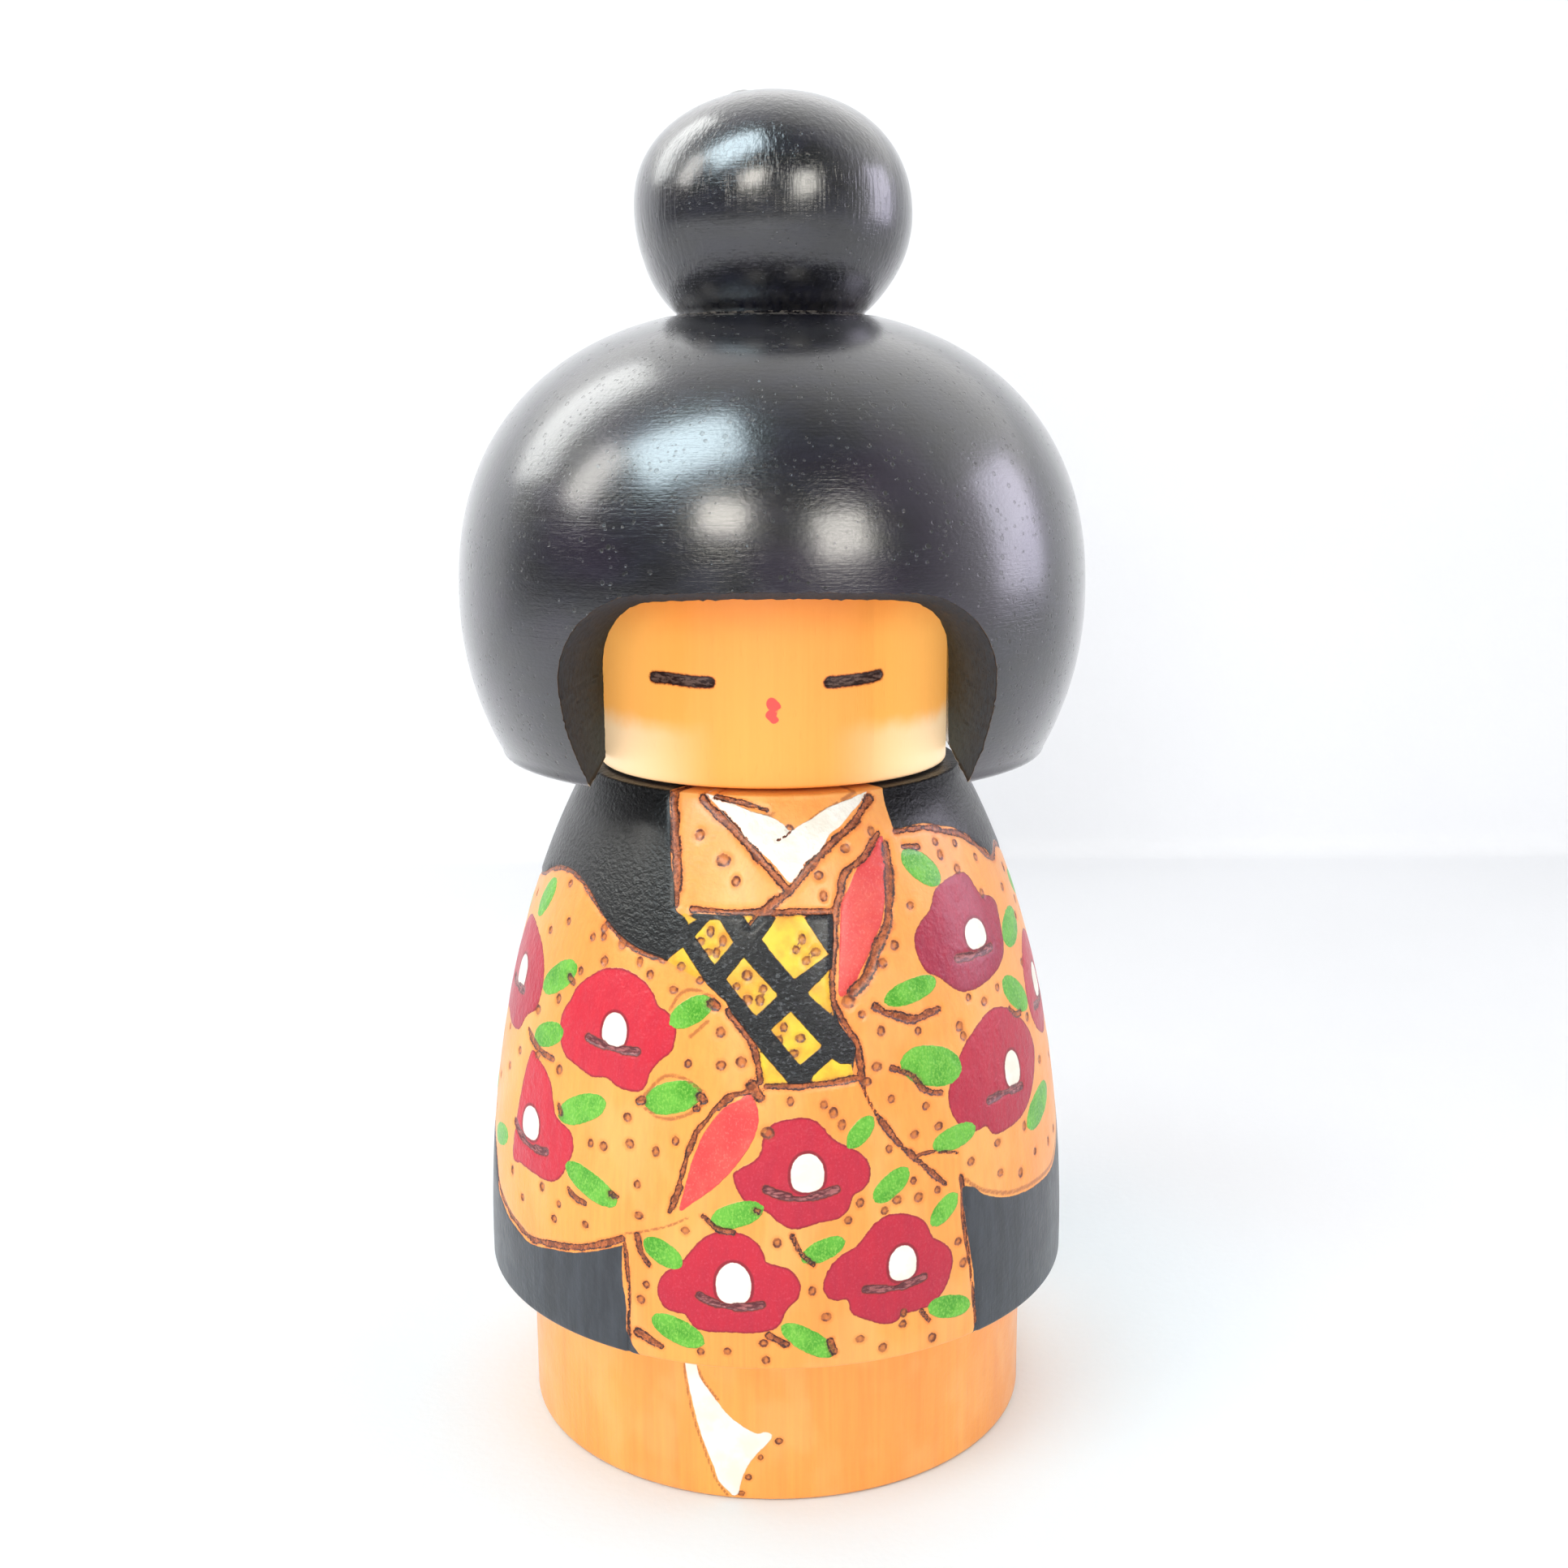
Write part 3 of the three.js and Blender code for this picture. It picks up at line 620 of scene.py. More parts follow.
PEBBLE_START = 38.0          # the black is brushed below this and pebbled above
PEBBLE_BLEND = 22.0
SHOULDER_PEBBLE = 0.4        # how rough the shoulders are beside the sash
PETAL_SHADING = 0.12         # how much lighter a petal's top is than its foot
STAMEN_TURNS = np.radians(np.arange(15, 360, 30))
STAMEN_FOOT = 0.75           # below 1 the stamens grow squarer
STAMEN_TOP = 0.97
STAMEN_TAPER = 0.05
BAR_WIDTH = 0.55             # the thin stroke under a stamen
KNOT_WIDTH = 0.95            # its two thick ends
KNOT_PLACES = ((0, 0.34), (0.66, 1))


def draw_camellia(canvas, outline, stamen, bar, tone):
    at, distance = canvas.region("petal", outline)
    inside = at[distance < 0.6]
    foot, head = np.array(outline).min(0)[1], np.array(outline).max(0)[1]
    height = (canvas.z[inside] - foot) / (head - foot)
    canvas.layers["petal_tone"][inside] = tone + PETAL_SHADING * (height - 0.5)

    theta, half, bottom, top = stamen
    middle, tall = (top + bottom) / 2, (top - bottom) / 2
    egg = []
    for turn in STAMEN_TURNS:
        across, up = math.cos(turn), math.sin(turn)
        power = STAMEN_FOOT if up < 0 else STAMEN_TOP
        wide = half * (1 - STAMEN_TAPER * up) * abs(across) ** power
        high = tall * abs(up) ** power
        egg.append((theta + math.copysign(wide, across), middle + math.copysign(high, up)))
    canvas.region("white", egg)

    canvas.burn(bar, BAR_WIDTH, "bar")
    steps = np.arange(len(bar))
    for start, stop in KNOT_PLACES:
        places = np.array([start, (start + stop) / 2, stop]) * steps[-1]
        canvas.burn([[np.interp(p, steps, v) for v in zip(*bar)] for p in places], KNOT_WIDTH, "bar")


def draw_kimono(canvas):
    for shape in (HAIR_LEFT, HAIR_RIGHT, HEM_LEFT, HEM_RIGHT):
        canvas.region("black", shape)
    at, obi = canvas.outline_distance(np.array(OBI, float))
    for shape in OBI_YELLOW:
        canvas.region("yellow", shape, smooth=False)
    canvas.keep_lower("black", at, np.maximum(obi, -canvas.layers["yellow"][at]))
    rise = np.clip((canvas.z - PEBBLE_START) / PEBBLE_BLEND, 0, 1)
    painted = canvas.layers["black"] < 0.5
    pebble = canvas.plain_layer("pebble")
    pebble[painted] = SHOULDER_PEBBLE * (rise * rise * (3 - 2 * rise))[painted]
    pebble[at[obi < 0.2]] = 1.0
    canvas.region("white", COLLAR)
    for shape in (LINING_RIGHT, LINING_LEFT):
        canvas.region("lining", shape)
    canvas.plain_layer("petal_tone")
    for flower in CAMELLIAS:
        draw_camellia(canvas, **flower)
    for leaf in LEAVES:
        canvas.leaf(*leaf)
    for points, width in LINES + STROKES:
        canvas.burn(points, width)
    for points, width in FAINT:
        canvas.burn(points, width, "faint")
    for spot in DOTS + OBI_DOTS:
        canvas.dot(*spot)
    for spot in BIG_DOTS:
        canvas.dot(*spot, BIG_DOT)


def draw_foot(canvas):
    canvas.region("white", FLAP)
    for points, width in FLAP_LINES:
        canvas.burn(points, width, "faint")
    for spot in FLAP_DOTS:
        canvas.dot(*spot, FLAP_DOT)


def body_mesh():
    """Foot and kimono in one turning, with the neck peg's socket in its top."""
    edge = HEM_HEIGHT + HEM_ROUNDING
    top = BODY_TOP - RIM_ROUNDING
    rim = float(kimono_radius(top))
    foot = FOOT_RADIUS - FOOT_ROUNDING
    profile = flat(0, 0, foot, step=2.5)
    profile += rounding(foot, FOOT_ROUNDING, FOOT_ROUNDING, -90, 0)
    profile += wall(FOOT_RADIUS, FOOT_ROUNDING, HEM_HEIGHT, step=0.36)
    profile += flat(HEM_HEIGHT, FOOT_RADIUS, HEM_RADIUS - HEM_ROUNDING, step=0.9)
    profile += rounding(HEM_RADIUS - HEM_ROUNDING, edge, HEM_ROUNDING, -90, 0)
    profile += along(kimono_radius, spaced(edge, top, step=0.33))
    profile += rounding(rim - RIM_ROUNDING, top, RIM_ROUNDING, 0, 90)
    profile += flat(BODY_TOP, rim - RIM_ROUNDING, SOCKET_RADIUS, step=1.2)
    profile += wall(SOCKET_RADIUS, BODY_TOP, SOCKET_FLOOR, step=1.5)
    profile += flat(SOCKET_FLOOR, SOCKET_RADIUS, 0, step=1.2)
    mesh = lathe("body_wood", profile, front_and_back(FRONT_ANGLES, fine=0.56, coarse=1.9))
    points = points_of(mesh)
    radius = np.hypot(points[:, 0], points[:, 1])
    above = points[:, 2] > HEM_HEIGHT + 0.02
    canvas = Canvas(points, above & (radius > rim - 4))
    draw_kimono(canvas)
    canvas.drawable = ~above & (radius > FOOT_RADIUS - 1) & (radius < FOOT_RADIUS + 0.3)
    draw_foot(canvas)
    canvas.carve(mesh)
    sharpen(mesh, 40)
    return mesh


# ------------------------------------------------------------------- the face

EYES = [
    [(-39.4, 88.55), (-33.5, 88.6), (-25.8, 88.45), (-19.2, 88.45)],
    [(17.6, 88.4), (25, 88.5), (30.5, 88.6), (34.6, 88.8)],
]
EYE_WIDTH = 1.25
MOUTH = [
    [(-1.7, 86.5), (-1, 86.9), (0.2, 87), (1.4, 86.7), (2.8, 86), (1.8, 85.7), (0.5, 85.5), (-0.9, 85.7),
     (-1.7, 86.1)],
    [(-0.8, 85.7), (0.6, 85.5), (1.9, 85.4), (1.1, 85.1), (2.1, 84.7), (1.6, 84.4), (0.5, 84.2), (-0.8, 84.5),
     (-2.1, 85.1)],
]


def face_mesh():
    """Cylinder bored from below, with the eyes and mouth drawn on its front."""
    inner = FACE_RADIUS - FACE_ROUNDING
    low, high = FACE_BOTTOM + FACE_ROUNDING, FACE_TOP - FACE_ROUNDING
    profile = flat(NECK_HOLE_TOP, 0, NECK_HOLE_RADIUS, step=1.5)
    profile += wall(NECK_HOLE_RADIUS, NECK_HOLE_TOP, FACE_BOTTOM, step=1.5)
    profile += flat(FACE_BOTTOM, NECK_HOLE_RADIUS, inner, step=1.5)
    profile += rounding(inner, low, FACE_ROUNDING, -90, 0)
    profile += wall(FACE_RADIUS, low, FACE_HIDDEN, step=0.22)
    profile += wall(FACE_RADIUS, FACE_HIDDEN, high, step=1.5)
    profile += rounding(inner, high, FACE_ROUNDING, 0, 90)
    profile += flat(FACE_TOP, inner, 0, step=1.5)
    mesh = lathe("face_wood", profile, front_and_back(FACE_ANGLES, fine=0.65, coarse=4))
    points = points_of(mesh)
    canvas = Canvas(points, np.hypot(points[:, 0], points[:, 1]) > inner)
    for eye in EYES:
        canvas.burn(eye, EYE_WIDTH, "bar")
    for lip in MOUTH:
        canvas.region("lips", lip)
    canvas.carve(mesh)
    sharpen(mesh, 40)
    return mesh


# ------------------------------------------------------------ the hair and topknot

CHISEL = 0.045               # depth of the marks in the window's walls
GRAIN = 0.35                 # share of the marks that changes at every point
MARK_ROWS = 3                # rows of points between two coarse marks
CUT_START = -2.0             # the window is only cut in front of this
SIDE_STEPS = 40
CORNER_STEPS = 24
ACROSS_STEPS = 60


def arch_sizes(y):
    """Sizes of the face window at depth y, and where its corners start."""
    t = (y - INNER_ARCH["y"]) / (OUTER_ARCH["y"] - INNER_ARCH["y"])
    arch = {k: INNER_ARCH[k] + (OUTER_ARCH[k] - INNER_ARCH[k]) * t for k in INNER_ARCH}
    return arch, arch["top"] - arch["corner_z"]


def arch_at(y):
    """Outline of the face window at depth y."""
    arch, spring = arch_sizes(y)
    side = np.linspace(ARCH_FOOT, spring, SIDE_STEPS, endpoint=False)
    below = (spring - side) / (spring - ARCH_FOOT)
    right = [(arch["foot"], z) for z in spaced(WINDOW_FLOOR, ARCH_FOOT, step=1)[:-1]]
    right += [(arch["half"] - (arch["half"] - arch["foot"]) * b * b, z) for b, z in zip(below, side)]
    for turn in np.linspace(0, math.pi / 2, CORNER_STEPS + 1):
        right.append((arch["half"] - arch["corner_x"] * (1 - math.cos(turn)),
                      spring + arch["corner_z"] * math.sin(turn)))
    reach, top = right[-1]
    across = [(x, top) for x in np.linspace(reach, -reach, ACROSS_STEPS)[1:-1]]
    left = [(-x, z) for x, z in reversed(right)]
    return np.array([(x + WINDOW_X, y, z) for x, z in right + across + left])


def window_depth(points):
    """How far a point lies outside the window's wall, in millimetres."""
    x, y, z = np.abs(points[:, 0] - WINDOW_X), points[:, 1], points[:, 2]
    arch, spring = arch_sizes(y)
    below = np.clip((spring - z) / (spring - ARCH_FOOT), 0, 1)
    side = x - (arch["half"] - (arch["half"] - arch["foot"]) * below ** 2)
    u = (x - (arch["half"] - arch["corner_x"])) / arch["corner_x"]
    v = (z - spring) / arch["corner_z"]
    corner = (np.hypot(np.maximum(u, 0), np.maximum(v, 0)) - 1) * arch["corner_z"]
    depth = np.where(z < spring, side, np.maximum(corner, z - arch["top"]))
    return np.where(y < CUT_START, depth, FAR)


def window_cutter():
    """Fine solid of the window, its walls a little rough from the chisel."""
    rings = [arch_at(y) for y in spaced(WINDOW_BACK, WINDOW_FRONT, step=0.6)]
    count = len(rings[0])
    rng = np.random.default_rng(7)
    coarse = rng.normal(0, 1, (len(rings) // MARK_ROWS + 2, count))
    form = bmesh.new()
    rows = []
    for i, ring in enumerate(rings):
        tangent = np.roll(ring, -1, 0) - np.roll(ring, 1, 0)
        outward = np.stack([tangent[:, 2], np.zeros(count), -tangent[:, 0]], -1)
        outward /= np.maximum(np.linalg.norm(outward, axis=1, keepdims=True), 1e-9)
        mark, part = i // MARK_ROWS, i % MARK_ROWS / MARK_ROWS
        rough = coarse[mark] * (1 - part) + coarse[mark + 1] * part
        rough = rough + rng.normal(0, GRAIN, count)
        bumped = ring + outward * (CHISEL * rough)[:, None]
        rows.append([form.verts.new(Vector(p * MM)) for p in bumped])
    for a, b in zip(rows, rows[1:]):
        for i in range(count):
            j = (i + 1) % count
            form.faces.new((a[i], a[j], b[j], b[i]))
    form.faces.new(rows[0][::-1])
    form.faces.new(rows[-1])
    bmesh.ops.recalc_face_normals(form, faces=form.faces[:])
    mesh = bpy.data.meshes.new("window")
    form.to_mesh(mesh)
    form.free()
    return mesh


def cut_window(mesh):
    """The ball of hair with the face window taken out."""
    scene = bpy.context.scene.collection
    hair = bpy.data.objects.new("hair_form", mesh)
    tool = bpy.data.objects.new("window_form", window_cutter())
    scene.objects.link(hair)
    scene.objects.link(tool)
    cut = hair.modifiers.new("window", "BOOLEAN")
    cut.operation = "DIFFERENCE"
    cut.solver = "EXACT"
    cut.object = tool
    shaped = hair.evaluated_get(bpy.context.evaluated_depsgraph_get())
    result = bpy.data.meshes.new_from_object(shaped)
    bpy.data.objects.remove(hair)
    bpy.data.objects.remove(tool)
    result.name = "hair_wood"
    return result


def hair_mesh():
    """Hollow ball of hair around the face block, open at the face."""
    rim = HAIR_RIM + HAIR_RIM_ROUNDING
    edge = float(hair_lower(rim)) - HAIR_RIM_ROUNDING
    profile = flat(BORE_TOP, 0, HAIR_BORE, step=2)
    profile += wall(HAIR_BORE, BORE_TOP, HAIR_RIM, step=1)
    profile += flat(HAIR_RIM, HAIR_BORE, edge, step=0.9)
    profile += rounding(edge, rim, HAIR_RIM_ROUNDING, -90, 0, steps=5)
    profile += along(hair_lower, spaced(rim, HAIR_WIDEST, step=0.55))
    profile += along(hair_upper, eased(HAIR_WIDEST, CROWN, count=90))
    profile += flat(CROWN, float(hair_upper(CROWN)), KNOT_HOLE_RADIUS, step=0.7)
    profile += wall(KNOT_HOLE_RADIUS, CROWN, KNOT_HOLE_FLOOR, step=1)
    profile += flat(KNOT_HOLE_FLOOR, KNOT_HOLE_RADIUS, 0, step=1.2)
    mesh = cut_window(lathe("hair_ball", profile, all_round(0.9)))
    points = points_of(mesh)
    points[:, 1] = np.maximum(points[:, 1], -HAIR_FRONT)
    move_points(mesh, points)
    z = points[:, 2]
    skin = np.where(z > HAIR_WIDEST, hair_upper(z), hair_lower(z))
    sunk = np.minimum(skin - np.hypot(points[:, 0], points[:, 1]), np.maximum(z - HAIR_RIM - 0.02, 0))
    sunk[z > CROWN - 0.1] = 0
    store(mesh, {"under_skin": sunk, "from_window": np.minimum(window_depth(points), FAR)})
    mesh.shade_smooth()
    sharpen(mesh, 32)
    return mesh


KNOT_SHIFT_X = 0.3
KNOT_TIP = 0.01              # the crown stops this much short of the top
KNOT_UNEVEN = 6.0            # height and radius over which the unevenness grows in
STUB = dict(x=-3.5, y=-1.5, size=1.1, rise=0.25)


def knot_mesh():
    """Bun, slightly uneven, with the stub of the lathe's centre on its crown."""
    low, crown = KNOT_BOTTOM + KNOT_ROUNDING, KNOT_TOP - KNOT_TIP
    foot = float(knot_lower(low)) - KNOT_ROUNDING
    profile = flat(KNOT_HOLE_TOP, 0, KNOT_HOLE_RADIUS, step=1.2)
    profile += wall(KNOT_HOLE_RADIUS, KNOT_HOLE_TOP, KNOT_BOTTOM, step=0.8)
    profile += flat(KNOT_BOTTOM, KNOT_HOLE_RADIUS, foot, step=0.8)
    profile += rounding(foot, low, KNOT_ROUNDING, -90, 0)
    profile += along(knot_lower, spaced(low, KNOT_WIDEST, step=0.3))
    profile += along(knot_upper, eased(KNOT_WIDEST, crown, count=60))
    profile += [(0.0, crown)]
    mesh = lathe("topknot_wood", profile, all_round(1.5))
    points = points_of(mesh)
    x, y, z = points.T
    theta, radius = np.arctan2(x, -y), np.hypot(x, y)
    lift = np.clip((z - KNOT_BOTTOM) / KNOT_UNEVEN, 0, 1)
    swell = 0.16 * np.sin(2 * theta + 0.8) + 0.1 * np.sin(3 * theta + z * 0.35)
    outer = radius > KNOT_HOLE_RADIUS + 0.5
    factor = 1 + np.where(outer, swell * lift / np.maximum(radius, KNOT_UNEVEN), 0)
    x, y = x * factor, y * factor
    stub = np.hypot(x - STUB["x"], y - STUB["y"]) / STUB["size"]
    z = np.minimum(z + np.where(z > KNOT_WIDEST, STUB["rise"] * np.exp(-stub ** 4), 0), KNOT_TOP)
    move_points(mesh, np.stack([x + KNOT_SHIFT_X * lift, y, z], -1))
    sharpen(mesh, 45)
    return mesh


# ---------------------------------------------------------------------- materials

def colour(code):
    """Linear colour from a hex code."""
    out = []
    for i in (0, 2, 4):
        v = int(code[i:i + 2], 16) / 255
        out.append(v / 12.92 if v <= 0.04045 else ((v + 0.055) / 1.055) ** 2.4)
    return (*out, 1.0)


class Nodes:
    """Writes the nodes of a material or of the world."""

    def __init__(self, owner, coordinates, scale):
        owner.use_nodes = True
        self.nodes = owner.node_tree.nodes
        self.links = owner.node_tree.links
        self.nodes.clear()
        self.place = self.scaled(self.add("TexCoord").outputs[coordinates], scale)

    def add(self, kind, inputs=(), **settings):
        """Adds a node whose inputs come in their order, or by name or number in a dict."""
        node = self.nodes.new("ShaderNode" + kind)
        for name, setting in settings.items():
            setattr(node, name, setting)
        for key, value in inputs.items() if isinstance(inputs, dict) else enumerate(inputs):
            self.feed(node.inputs[key], value)
        return node

    def feed(self, socket, value):
        """Links another node's output, or sets a number, a colour or a hex code."""
        if isinstance(value, bpy.types.NodeSocket):
            self.links.new(value, socket)
        else:
            socket.default_value = colour(value) if isinstance(value, str) else value

    def scaled(self, vector, scale):
        """A vector times one number, or times one for each axis."""
        scale = scale if isinstance(scale, tuple) else (scale,) * 3
        return self.add("VectorMath", (vector, scale), operation="MULTIPLY").outputs[0]

    def axis(self, name):
        return self.add("SeparateXYZ", (self.place,)).outputs[name]

    def math(self, operation, *values):
        return self.add("Math", values, operation=operation).outputs[0]

    def fold(self, operation, *values):
        return reduce(lambda a, b: self.math(operation, a, b), values)

    def times(self, *values):
        return self.fold("MULTIPLY", *values)

    def total(self, *pairs):
        """Sum of value times weight."""
        return reduce(lambda so_far, pair: self.math("MULTIPLY_ADD", *pair, so_far), pairs, 0.0)

    def fade(self, value, start, end, low=0.0, high=1.0):
        """Smooth step from low at start to high at end."""
        inputs = (value, start, end, low, high)
        return self.add("MapRange", inputs, interpolation_type="SMOOTHSTEP").outputs[0]

    def under(self, value, start, end, top=1.0):
        """Top where the value is below start, falling to 0 at end."""
        return self.fade(value, start, end, top, 0.0)


class Finish(Nodes):
    """Writes one material's nodes. Lengths inside it are in millimetres."""

    def __init__(self, name):
        self.material = bpy.data.materials.new(name)
        super().__init__(self.material, "Object", 1 / MM)

    def mix(self, factor, a, b, blend="MIX"):
        inputs = {0: factor, 6: a, 7: b}
        return self.add("Mix", inputs, data_type="RGBA", blend_type=blend).outputs[2]

    def noise(self, per_mm, detail=2.0, rough=0.5, distort=0.0):
        """Noise whose features are about 1 / per_mm long, for all axes or for each."""
        return self.add("TexNoise", {
            "Vector": self.scaled(self.place, per_mm), "Scale": 1.0, "Detail": detail,
            "Roughness": rough, "Distortion": distort,
        }).outputs["Fac"]

    def cells(self, per_mm):
        """Distance from the middle of each of many random cells."""
        inputs = {"Vector": self.scaled(self.place, per_mm), "Scale": 1.0}
        return self.add("TexVoronoi", inputs).outputs["Distance"]

    def layer(self, name):
        return self.add("Attribute", attribute_name=name).outputs["Fac"]

    def swing(self, noise, amount):
        return self.times(self.math("SUBTRACT", noise, 0.5), amount)

    def wobbled(self, name, per_mm, amount):
        """A drawn layer's distance with a slightly uneven edge."""
        return self.math("ADD", self.layer(name), self.swing(self.noise(per_mm, 3.0, 0.6), amount))

    def painted(self, name, unevenness=0.2):
        """1 where a drawn layer is painted."""
        return self.under(self.wobbled(name, 1.5, unevenness), -0.05, 0.06)

    def close(self, base, roughness, height, coat=0.0, coat_roughness=0.1, specular=0.5):
        bump = self.add("Bump", {"Strength": 1.0, "Distance": MM, "Height": height})
        shader = self.add("BsdfPrincipled", {
            "Base Color": base, "Roughness": roughness, "Coat Weight": coat,
            "Coat Roughness": coat_roughness, "Specular IOR Level": specular,
            "Normal": bump.outputs["Normal"],
        })
        self.add("OutputMaterial", {"Surface": shader.outputs["BSDF"]})
        return self.material


def wood(f, light, dark, pore, contrast=1.0):
    """Colour and relief of straight grained wood that runs up the doll."""
    band = f.noise((0.09, 0.09, 0.012), 2.0, 0.5, 0.6)
    streak = f.noise((1.6, 1.6, 0.05), 3.0, 0.6)
    line = f.noise((5.0, 5.0, 0.22))
    tone = f.total((band, 0.55), (streak, 0.33), (line, 0.12))
    spread = 0.18 / contrast
    base = f.mix(f.fade(tone, 0.5 - spread, 0.5 + spread), light, dark)
    specks = f.fade(f.noise((4.2, 4.2, 0.5), 1.0, 0.4), 0.66, 0.8)
    base = f.mix(f.times(specks, 0.25 * contrast), base, pore)
    return base, f.total((line, 0.010), (specks, -0.015), (streak, 0.008))


def kimono_tone(f, base):
    """Paler clouds in the stain."""
    return f.mix(f.fade(f.noise((0.16, 0.16, 0.1)), 0.44, 0.66, 0.0, 0.16), base, "ffce8a")


BROW = (92.5, 100.5)         # heights between which the painted shade under the fringe, a redder colour, grows in
CHEEK = (7.0, 17.0)          # distances from the middle where the sides turn pale: painted light on the sides that the window's walls shade
# Painted reflection: the heights and the distances from the middle of the pale lower corners.
PAINTED_REFLECTION_TOP = (82.8, 85.6)
PAINTED_REFLECTION_SIDE = (5.0, 19.0)


def face_tone(f, base):
    """Redder painted shade under the fringe, paler painted light to the sides, a pale painted reflection at
    the lower corners.
    """
    height = f.math("ADD", f.axis("Z"), f.times(f.noise(0.3), 2.0))
    side = f.math("ABSOLUTE", f.axis("X"))
    # painted light: the sides, which the window's walls shade, are made paler
    base = f.mix(f.fade(side, *CHEEK, 0.0, 0.7), base, "f8b862")
    # painted shade under the fringe
    base = f.mix(f.fade(height, *BROW, 0.0, 0.85), base, "dd7c36")
    # painted reflection at the lower corners
    painted_corner_reflection = f.times(f.under(height, *PAINTED_REFLECTION_TOP), f.fade(side, *PAINTED_REFLECTION_SIDE), 0.8)
    return f.mix(painted_corner_reflection, base, "f7dfba")


def scorch(f, base, burn):
    """Halo, browned middle and broken dark rails of the pen strokes."""
    base = f.mix(f.under(burn, 0.85, 1.7, 0.6), base, "f0ae70", "MULTIPLY")
    brown = f.mix(f.fade(f.noise(1.3, 3.0, 0.65), 0.38, 0.6), "66240c", "b25c2c")
    hairs = f.fade(f.noise(3.6, 2.0, 0.6), 0.52, 0.6, 0.0, 0.75)
    brown = f.mix(hairs, brown, "431509")
    base = f.mix(f.under(burn, 0.8, 1.05, 0.88), base, brown)
    rail = f.times(f.fade(burn, 0.45, 0.65), f.under(burn, 0.8, 1.02))
    broken = f.fade(f.noise(2.0, 3.0, 0.7), 0.38, 0.52, 0.15, 1.0)
    return f.mix(f.times(rail, broken), base, "2c0c06")


def dotted(f, base, dot):
    """Rings of the pen's twist, brown outside and only warmed inside."""
    base = f.mix(f.under(dot, 0.9, 1.7, 0.4), base, "f2b880", "MULTIPLY")
    base = f.mix(f.under(dot, 0.8, 1.0, 0.68), base, "b8662a")
    ring = f.times(f.fade(dot, 0.35, 0.72), f.under(dot, 0.84, 1.08))
    uneven = f.fade(f.noise(1.2, 2.0, 0.6), 0.4, 0.6, 0.3, 0.95)
    return f.mix(f.times(ring, uneven), base, "57200e")


def brushed_stroke(f, base, bar, dark, pale):
    """Stroke burned over paint, or wide and black as an eye is."""
    base = f.mix(f.under(bar, 0.95, 1.35, 0.8), base, "94301a")
    ash = f.times(f.fade(f.noise((1.1, 1.1, 3.6), 3.0, 0.6), 0.42, 0.6), f.under(bar, 0.6, 0.9))
    return f.mix(f.under(bar, 0.88, 1.1), base, f.mix(ash, dark, pale))


def lining_paint(f, mottle, fine):
    red = f.mix(f.fade(mottle, 0.3, 0.75), "d63a3a", "dd5046")
    # painted highlights: pale specks standing in for glints on the pebbled paint
    return f.mix(f.fade(fine, 0.5, 0.75, 0.0, 0.3), red, "f09080")


def petal_paint(f, fine):
    """Crimson by the flower's tone, darker at its edge and around the stamen, with painted highlight specks.
    """
    brush = f.noise((1.1, 1.1, 0.25), 3.0, 0.6)
    tone = f.math("ADD", f.layer("petal_tone"), f.swing(brush, 0.4))
    red = f.mix(tone, "8e0c34", "d8182e")
    # painted highlights: pale specks standing in for glints on the leathery paint
    red = f.mix(f.fade(fine, 0.5, 0.75, 0.0, 0.14), red, "f06a80")
    red = f.mix(f.fade(f.layer("petal"), -0.28, -0.06, 0.0, 0.7), red, "7c0a1c")
    return f.mix(f.under(f.layer("white"), 0.22, 0.42, 0.8), red, "7a0c1e")


def leaf_paint(f, mottle, fine):
    green = f.mix(f.fade(mottle, 0.35, 0.65), "3f9614", "64b432")
    return f.mix(f.fade(fine, 0.4, 0.8, 0.0, 0.8), green, "90cc50")


def black_paint(f, pebble, sash):
    """Slate grey below as a painted sheen on the brushed black, deep black where it is pebbled, with painted
    glints on the sash.
    """
    # painted sheen: the brushed black is made slate grey where it is not pebbled
    black_with_painted_sheen = f.mix(f.fade(f.noise((0.5, 0.5, 0.1), 4.0, 0.65), 0.35, 0.7), "2b2f35", "3a3f46")
    black_with_painted_sheen = f.mix(f.fade(pebble, 0.0, 0.3), black_with_painted_sheen, "08080a")
    # painted highlights: pale specks on the sash standing in for glints
    glints = f.fade(f.noise((1.9, 1.9, 2.9), 2.0, 0.6), 0.57, 0.67)
    return f.mix(f.times(glints, sash, 0.3), black_with_painted_sheen, "7c8084")


COAT_END = (75.8, 76.5)      # the coat of varnish stops between these heights


